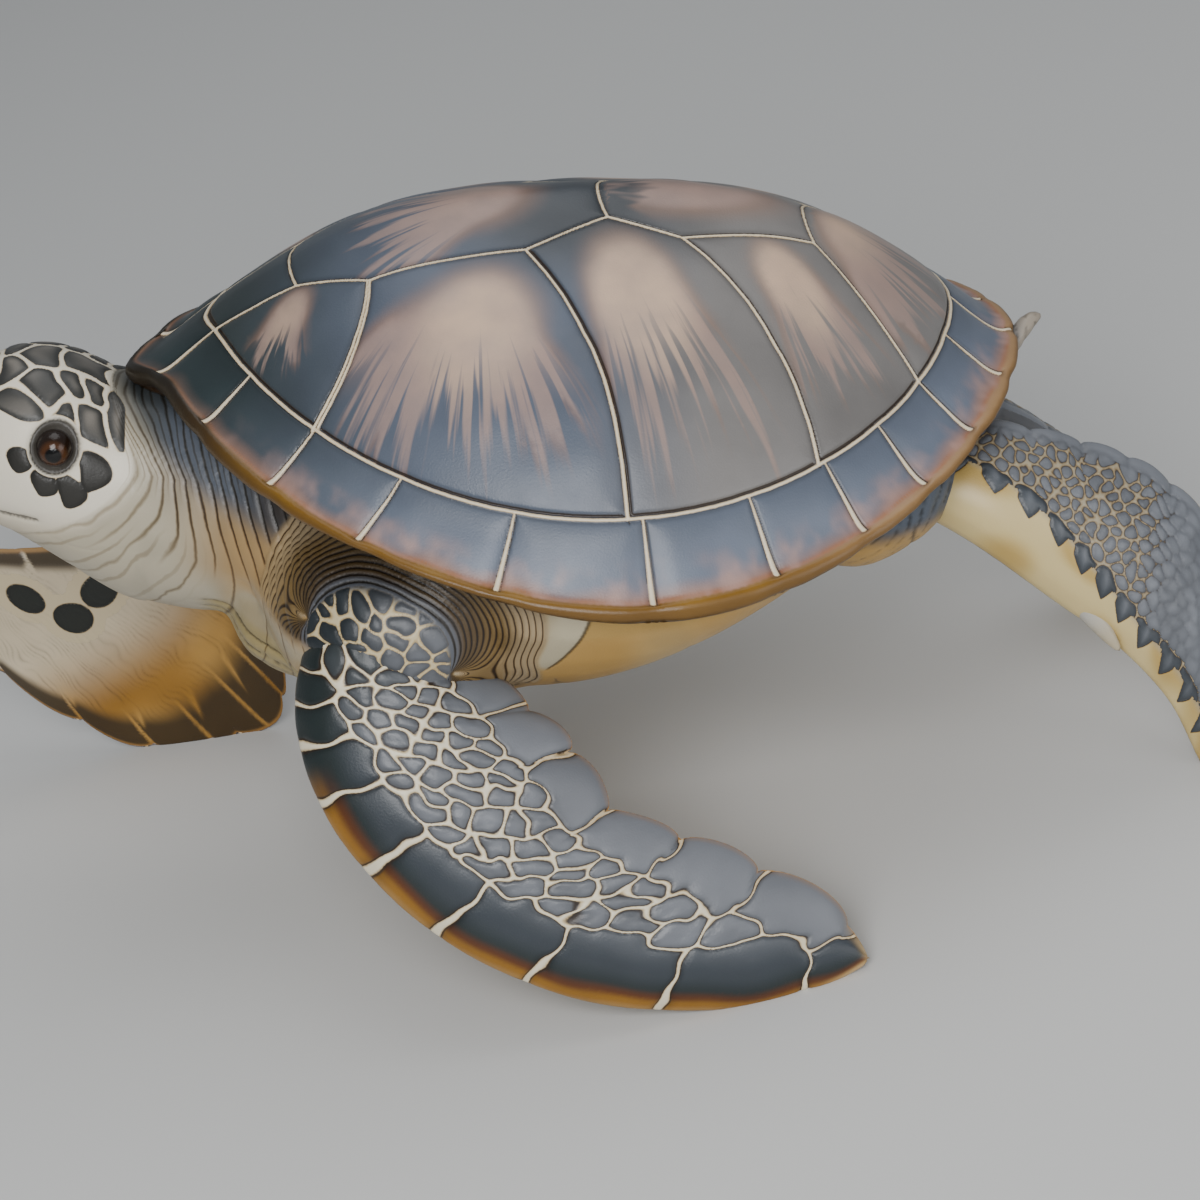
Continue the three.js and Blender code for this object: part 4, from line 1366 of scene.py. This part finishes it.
class Skin:
    """The body's skin, worked out region by region: its relief, its dark lines and its paint."""

    def __init__(self, p, normal):
        self.p, self.facing_up = p, normal[:, 2]
        self.x, self.y, self.z = p.T
        self.side_y = np.abs(self.y)
        self.cloud = ripple(p, 55, 58)
        self.groove = np.full(len(p), NO_LINE)
        self.relief = np.zeros(len(p))
        self.press_neck()
        self.press_shoulders()
        self.mark_folds()
        self.lay_root_scales()
        self.press_head()
        self.press_plastron()
        self.press_hips_and_tail()

    def crease(self, here, d, depth, width, dark):
        """Presses a line into the skin where d is near 0, and darkens it where there is enough of it."""
        self.relief -= here * depth * np.exp(-d / width)
        self.groove = np.where(here > 0.25, np.minimum(self.groove, d - dark * here), self.groove)

    def press_neck(self):
        """Rings that run down from the nape, fine above and wider apart over the throat."""
        p, x, z = self.p, self.x, self.z
        self.reach = neck_reach(p)
        self.neck = smooth(x, -176, -206) * smooth(self.reach, -318, -311)
        self.rings = self.reach / RING_GAP + 0.16 * ripple(p, 44, 51) + 0.05 * ripple(p, 13, 52)
        slant = z + 0.15 * (x + 300)
        throat = smooth(slant, -48, -72)
        self.ring_share = self.neck * np.where(np.round(self.rings) % 2 == 1, 1 - throat, 1.0)
        self.middle = bell(z + 12 + 0.2 * (x + 260), 42)
        self.nape = self.neck * smooth(z, -18, 14)
        deep = self.ring_share * mix(0.7, 1.3, self.middle)
        self.relief -= deep * np.exp(-line_at(self.rings) * RING_GAP / 1.4)
        self.relief -= 0.5 * self.nape * np.exp(-line_at(self.rings + 0.5) * RING_GAP / 1.1)
        self.relief -= 0.6 * (self.neck * throat * np.exp(-np.abs(slant + 62 + 3 * ripple(p, 30, 60)) / 1.2))

    def press_shoulders(self):
        """Arching folds that gather at both ends of the flipper's root, as deep as they are apart."""
        p, x, y = self.p, self.x, self.y
        wave = 0.03 * ripple(p, 46, 54) + 0.005 * ripple(p, 15, 55)
        place = fold_place(p) + wave
        self.pleats = FOLDS * place
        self.turn = 98 - 70 * place  # degrees over the shoulder, largest at the scales
        step = 0.5
        rate = np.zeros(len(p))
        for way in np.eye(3):
            rate += np.square((fold_place(p + step * way) - place + wave) * FOLDS / step)
        apart = 1 / np.sqrt(np.maximum(rate, 1e-9))
        floor = np.interp(x, [-196, -150, -98], [-74, -104, -140]) - 70 * (y > 0)
        self.folds = smooth(self.turn, 16, 22) * smooth(self.side_y, 78, 94) * smooth(x, -268, -250)
        self.folds *= smooth(self.z - floor, 0, 12) * smooth(x, 10, -20)
        self.pleated = self.folds * (1 - smooth(self.turn, 98, 103))
        ridge = np.square(np.cos(math.pi * self.pleats))
        self.relief += self.pleated * np.clip(apart * 0.26, 0.1, 1.3) * (0.5 - ridge)

    def mark_folds(self):
        """The count of the folds and rings, and how dark, how thin and how finely divided their lines are."""
        reach, folds = self.reach, self.folds
        lower = smooth(self.z, -30, -60) * smooth(reach, -268, -292)
        dark = self.ring_share * mix(0.75, 1, self.middle) * (1 - smooth(folds, 0.1, 0.5))
        dark = dark * (1 - 0.3 * lower) * mix(0.45, 1, smooth(reach, -312, -288))
        fine = np.maximum(self.nape, 0.6 * self.neck * lower)
        on_neck = (self.rings, dark, 1.15 - 0.4 * self.middle, fine)
        thin = 0.3 + 0.5 * smooth(self.turn, 70, 30)
        on_shoulder = (self.pleats, self.pleated * smooth(folds, 0.5, 0.85), thin, 0.0)
        marks = [np.where(folds > 0.5, here, there) for here, there in zip(on_shoulder, on_neck)]
        self.marks = dict(zip(("fold", "fold_dark", "fold_thin", "fold_fine"), marks))

    def lay_root_scales(self):
        """Small scales over the flipper's root, inside the innermost fold."""
        from_root, run, _ = root_place(self.p)
        rise = np.cross(run, [0.0, 1.0, 0.0])
        rise *= (np.sign(rise[:, 2]) / np.linalg.norm(rise, axis=1))[:, None]
        q = np.column_stack([(from_root * run).sum(1), (from_root * rise).sum(1)])
        q += 1.6 * ripples(q, 17, (75, 76))
        rng = np.random.default_rng(12)
        spots = [
            (17 * i + 8 * (j % 2) + rng.uniform(-6, 6), 12 * j + rng.uniform(-4, 4))
            for i in range(-2, 9) for j in range(-3, 7)
        ]
        sites = [(a, b, a + rng.uniform(0, 9), b + rng.uniform(-4, 3), rng.uniform(0, 1.5)) for a, b in spots]
        gap = cells(q, np.array(sites), 0.9)[1]
        self.down_arm = q[:, 0]
        self.root_scale = np.where(self.folds > 0.3, np.minimum(gap - 0.9, (self.turn - 102) * 0.7), -20.0)

    def press_head(self):
        """A cap of plates, dark drops on the cheek, lids round the eyes, the mouth and the nostrils."""
        p, x, z, side_y = self.p, self.x, self.z, self.side_y
        scale, self.is_drop = head_scales(p)
        scale = np.where(x < -312, scale, -20.0)
        self.eye_gap = np.hypot(x - EYE[0], z - EYE[2])
        self.at_eye = (side_y > 30) & (x < -330)
        self.scale = np.where(self.at_eye, np.minimum(scale, self.eye_gap - 19.5), scale)
        lid = self.at_eye * bell(self.eye_gap - 15.6, 2.6)
        self.relief += 2.8 * lid - 2.0 * self.at_eye * (1 - smooth(self.eye_gap, 7, 12))
        level = -36 - 0.12 * np.minimum(x + 430, 0) + 5 * bell(x + 474, 16)
        mouth = np.hypot(np.maximum(x + 388, 0), z - level) + 0.4 * ripple(p, 12, 73)
        self.crease(x < -380, mouth, 2.6, 2.4, 1.5)
        nostril = np.linalg.norm(np.column_stack([x + 470, side_y - 9, 0.8 * (z - 2)]), axis=1)
        self.crease(x < -440, np.maximum(nostril - 2.2, 0), 2.0, 1.6, 1.0)
        self.edge = np.maximum(self.scale, self.root_scale)
        swell = np.where(self.edge > 0, 1.1 * (1 - np.exp(-np.maximum(self.edge, 0) / 2.6)), 0)
        self.relief += swell - 0.5 * bell(self.edge - 0.3, 0.7)

    def press_plastron(self):
        """Plates of the belly with thin seams, the ridges of its front lip, and the line behind the folds."""
        x, z, side_y = self.x, self.z, self.side_y
        self.down = smooth(-self.facing_up, 0.1, 0.45)
        self.plates = self.down * smooth(x, -270, -235) * smooth(x, 268, 235) * (1 - self.folds)
        for at in PLASTRON_SEAMS:
            bend = at + 0.22 * side_y - 0.0011 * side_y**2
            self.crease(self.plates * smooth(side_y, 190, 168), np.abs(x - bend), 1.0, 1.8, 0.9)
        self.crease(self.plates, side_y, 1.0, 1.8, 0.9)
        inner = np.abs(side_y - 128 - 22 * np.cos(x / 80))
        self.crease(self.plates * smooth(x, -150, -110), inner, 1.0, 1.8, 0.9)
        self.lip = smooth(x, -282, -262) * smooth(x, -168, -196) * smooth(z, -94, -102)
        self.crease(self.lip, line_at((z + 100 + 0.1 * (side_y - 60)) / 11) * 11, 2.4, 2.2, 0.7)
        # Behind the folds a pale patch, which one dark curve parts from the golden flank.
        self.flank = smooth(x, -66, -52) * smooth(side_y, 168, 182) * smooth(z, -92, -82) * (1 - self.folds)
        self.curve_gap = -10 + 0.45 * (z + 50) - 0.004 * np.square(z + 50) - x
        self.crease(self.flank, np.abs(self.curve_gap), 0.9, 1.3, 1.2)

    def press_hips_and_tail(self):
        """Small folds, and the skin's own unevenness everywhere behind the head."""
        p, x, side_y = self.p, self.x, self.side_y
        hips = smooth(x, 150, 190) * smooth(side_y, 20, 34) * (1 - self.down * 0.6)
        phase = np.linalg.norm(p - np.array([300, 0, -60]), axis=1) / 8 + 0.4 * ripple(p, 40, 56)
        self.crease(hips, line_at(phase) * 8, 1.2, 1.6, 0.5)
        tail = smooth(x, 268, 280) * smooth(side_y, 22, 16)
        self.crease(tail, line_at(x / 7) * 7, 0.5, 1.2, 0.3)
        self.relief += 0.4 * ripple(p, 24, 57) * (1 - self.plates) * (x > -318)

    def shoulder_paint(self):
        x, turn = self.x, self.turn
        paint = coats(
            rgb(160, 140, 108),
            (rgb(112, 90, 52), smooth(turn, 34, 56)),
            (rgb(78, 62, 38), smooth(turn, 56, 80)),
            (rgb(84, 87, 94), smooth(turn, 88, 98)),
            (rgb(150, 124, 82), 0.7 * smooth(x, -196, -228) * smooth(turn, 70, 40)),
        )
        # painted shadow: the shoulder darkens towards its top, under the shell's front rim
        return paint * mix(1, 0.62, smooth(self.z, -46, -18) * smooth(x, -220, -190))[:, None]

    def bare_paint(self):
        """Paint of the bare skin, from the head's back to the tail, with painted shade under the shell's
        front.
        """
        x, z, side_y, down = self.x, self.z, self.side_y, self.down
        slate_line = 26 - 0.75 * (np.minimum(x, -262) + 313) - 0.3 * (np.maximum(x, -262) + 262)
        blue = coats(
            rgb(66, 70, 70),
            (rgb(80, 86, 96), smooth(x, -312, -285)),
            # painted shade: darker along the top of the neck, under the shell's front
            (rgb(44, 48, 50), smooth(z, 26, 46)),
        )
        plastron = coats(rgb(176, 140, 80), (rgb(196, 176, 132), smooth(self.cloud, -0.4, 1.2) * 0.6))
        pale = coats(rgb(150, 134, 100), (rgb(178, 168, 142), smooth(self.curve_gap, 40, 14)))
        tail_top = smooth(self.facing_up, 0.0, 0.6) * smooth(x, 316, 296)
        skin = coats(
            rgb(177, 168, 147),
            (rgb(156, 122, 70), 0.85 * (smooth(x, -302, -244) * smooth(z, -92, -58))),
            (rgb(140, 128, 112), 0.6 * smooth(x, -316, -286) * smooth(z, -40, 0)),
            (blue, smooth(z - slate_line + 4 * self.cloud, -13, 13)),
            # painted shadow: dark brown over the tops of the shoulders, under the shell's front rim
            (rgb(44, 34, 22), (smooth(x, -252, -214) * smooth(z, -44, -10) * smooth(side_y, 50, 80)) * 0.85),
            (rgb(160, 146, 116), smooth(x, -268, -244) * smooth(z, -70, -90)),
            (self.shoulder_paint(), self.folds),
            (rgb(166, 134, 74), smooth(x, -70, -44) * (1 - self.folds) * (x < 150)),
            (plastron, self.plates),
            (rgb(154, 138, 96), self.lip * smooth(x, -150, -200)),
            (pale, self.flank * smooth(self.curve_gap, -0.5, 1.5)),
            (SLATE * 0.6, 0.92 * (smooth(x, 160, 210) * (1 - 0.3 * down)) * smooth(z, -30, -6)),
            (coats(rgb(156, 146, 132), (SLATE * 0.8, tail_top)), smooth(x, 262, 276)),
        )
        return skin * mix(1.0, 0.85, smooth(-ripple(self.p, 20, 59), 0.3, 1.5) * 0.6)[:, None]

    def looks(self):
        """The paint values: the undercoat is that of the scales, and the skin between them is their line."""
        x, z = self.x, self.z
        cheek = coats(
            rgb(222, 214, 196),
            (rgb(196, 184, 160), smooth(-z, 20, 60)),
            (rgb(150, 132, 96), smooth(x, -440, -462) * 0.8),
        )
        skin = coats(
            self.bare_paint(),
            (cheek, smooth(x, -312, -322) * smooth(self.reach, -306, -316)),
            (rgb(58, 54, 48), self.at_eye * (1 - smooth(self.eye_gap, 16.5, 18))),
        )
        skin = skin * (1 - 0.75 * smooth(self.groove, 0.6, -0.5))[:, None]
        on_body = x > -300
        middle = smooth(self.scale, 1, 7) * (1 - self.is_drop)
        plate = coats(
            rgb(62, 62, 60),
            (rgb(128, 122, 114), 0.8 * middle * smooth(ripple(self.p, 22, 74), -1.4, 0.8)),
            (rgb(40, 38, 34), self.is_drop * 0.9),
            (rgb(40, 46, 50), on_body),
            (STEEL * 0.8, on_body * smooth(self.down_arm, 18, 80)),
        )
        near_root = on_body * smooth(self.root_scale, -3, -1) * smooth(self.turn, 101, 112) * 0.9
        line = coats(skin, (rgb(206, 190, 150), near_root))
        return {"undercoat": plate, "line": line, "cream_mm": self.edge, "dark_mm": self.groove, **self.marks}


def body_size(p):
    """How fine the skin is: finest on the folds and the head, coarse where the shell hides it."""
    x, y, z = p.T
    wide = np.abs(y)
    along = np.clip(x / LENGTH + 0.5, 0.001, 0.999)
    hidden = (z > rim_rise(along) - 4) & (wide < half_width(along) * 0.97) & (x > -262)
    size = np.full(len(p), 5.0)
    size = np.where((x < -150) & (wide < 118), np.where(y < 20, 2.7, 3.8), size)
    size = np.where((x < 0) & (wide > 96) & (z > -110) & (x > -262), np.where(y < 0, 1.6, 3.6), size)
    size = np.where((x > 165) & (z > -50), 3.2, size)
    size = np.where(z < -118, np.maximum(size, 4.4), size)
    size = np.where(x < -312, np.where(y < 10, 1.9, 2.6), size)
    return np.where(hidden, 30.0, size)


def build_body():
    skins = [(belly_core, 30, 90), (head_and_neck(), 40, 48), (chest(), 24, 48), (tail(), 14, 24)]
    for side in (-1, 1):
        skins += [(shoulder(side), 20, 36), (hip(side), 16, 30)]
    p, tri = fused(skins, voxel=5.4, soften=6)
    for _ in range(3):
        tri, pairs = split_edges(tri, long_edges(p, tri, body_size(p)), len(p))
        p = np.vstack([p, (p[pairs[:, 0]] + p[pairs[:, 1]]) / 2])
        p = relaxed(p, tri, 2)
    normal = unit_normals(p, tri)
    skin = Skin(p, normal)
    p = p + normal * skin.relief[:, None]
    finished("body", p, tri, hand_paint("painted_skin", after_lines=fold_coats, gloss=0.42), skin.looks())


build_body()


# ---- Eyes and claws ----
def build_eye(name, side):
    def place(u, v):
        turn, rise = math.tau * v, math.pi * u
        way = np.column_stack([np.sin(rise) * np.cos(turn), side * np.cos(rise), np.sin(rise) * np.sin(turn)])
        return EYE * [1, side, 1] + EYE_RADIUS * way

    u, _, p, tri = wound(place, as_it_is, 24, 32)
    ring = np.pi * u * EYE_RADIUS
    brown = coats(rgb(70, 42, 22), (rgb(30, 20, 14), smooth(ring, 8, 13)))
    colour = coats(brown, (rgb(8, 8, 8), smooth(ring, 6.4, 5.8)))
    finished(name, p, tri, hand_paint("painted_eye", gloss=0.12), plain_looks(colour))


def build_claw(name, root, tip):
    root, tip = np.array(root, float), np.array(tip, float)
    way = (tip - root) / np.linalg.norm(tip - root)
    side = np.cross(way, [0, 1, 0])
    side /= np.linalg.norm(side)
    up = np.cross(side, way)

    def place(u, v):
        turn = math.tau * v
        width = 11 * smooth(u, -0.1, 0.12) * np.sqrt(np.clip(1 - u, 0, 1)) * (u > 0)
        ring = width[:, None] * (np.cos(turn)[:, None] * side + 0.8 * np.sin(turn)[:, None] * up)
        hook = np.array([3.0, 0, -4.0]) * (u**2)[:, None]
        return mix(root - 8 * way, tip, u[:, None]) + ring + hook

    u, _, p, tri = wound(place, as_it_is, 24, 20)
    colour = coats(mix(IVORY, SLATE, 0.45), (rgb(178, 166, 140), smooth(u, 0.3, 0.9)))
    finished(name, p, tri, hand_paint("painted_claw", gloss=0.35), plain_looks(colour))


build_eye("left_eye", -1)
build_eye("right_eye", 1)
build_claw("left_rear_claw", (342, -130, -74), (368, -146, -106))
build_claw("right_rear_claw", (338, 124, -130), (360, 140, -166))


# ---- Setting ----
def lamp(name, place, target, size, watts):
    data = bpy.data.lights.new(name, "AREA")
    data.shape = "SQUARE"
    data.size = size
    data.energy = watts
    light = placed(name, data)
    light.location = place
    light.rotation_euler = (Vector(target) - Vector(place)).to_track_quat("-Z", "Y").to_euler()


def build_setting():
    bpy.ops.object.select_all(action="DESELECT")
    bpy.ops.mesh.primitive_plane_add(size=12, location=(0, 0, 0))
    floor = bpy.context.object
    floor.name = "floor"
    n = Nodes("pale_floor")
    n.shader.inputs["Base Color"].default_value = (0.62, 0.62, 0.61, 1)
    n.shader.inputs["Roughness"].default_value = 0.8
    floor.data.materials.append(n.material)
    lamp("key_light", (-0.2, -2.5, 1.9), (0, 0, 0.25), 1.6, 74)
    lamp("top_light", (0.4, 0.6, 2.9), (0, 0, 0.3), 2.0, 22)
    lamp("fill_light", (2.2, -2.0, 0.9), (0, 0, 0.2), 1.8, 24)
    world = bpy.data.worlds.new("studio")
    world.use_nodes = True
    back = world.node_tree.nodes["Background"]
    back.inputs[0].default_value = (0.8, 0.85, 0.9, 1)
    back.inputs[1].default_value = 0.3
    bpy.context.scene.world = world


def build_camera():
    """A long lens, high on the turtle's left side."""
    place = stood(np.array([[-87.1, -2382.3, 1268.0]]))[0]
    turn = lambda *way: Vector(stood(np.array([way]) * 1000)[0] - stood(np.zeros((1, 3)))[0]).normalized()
    ahead, above = turn(0.03573, 0.85913, -0.51051), turn(0.01789, 0.51020, 0.85987)
    right = ahead.cross(above).normalized()
    above = right.cross(ahead)
    data = bpy.data.cameras.new("camera")
    data.sensor_width = 36
    data.lens = 112.941
    camera = placed("camera", data)
    camera.matrix_world = Matrix((right, above, -ahead)).transposed().to_4x4()
    camera.matrix_world.translation = place
    bpy.context.scene.camera = camera


build_setting()
build_camera()
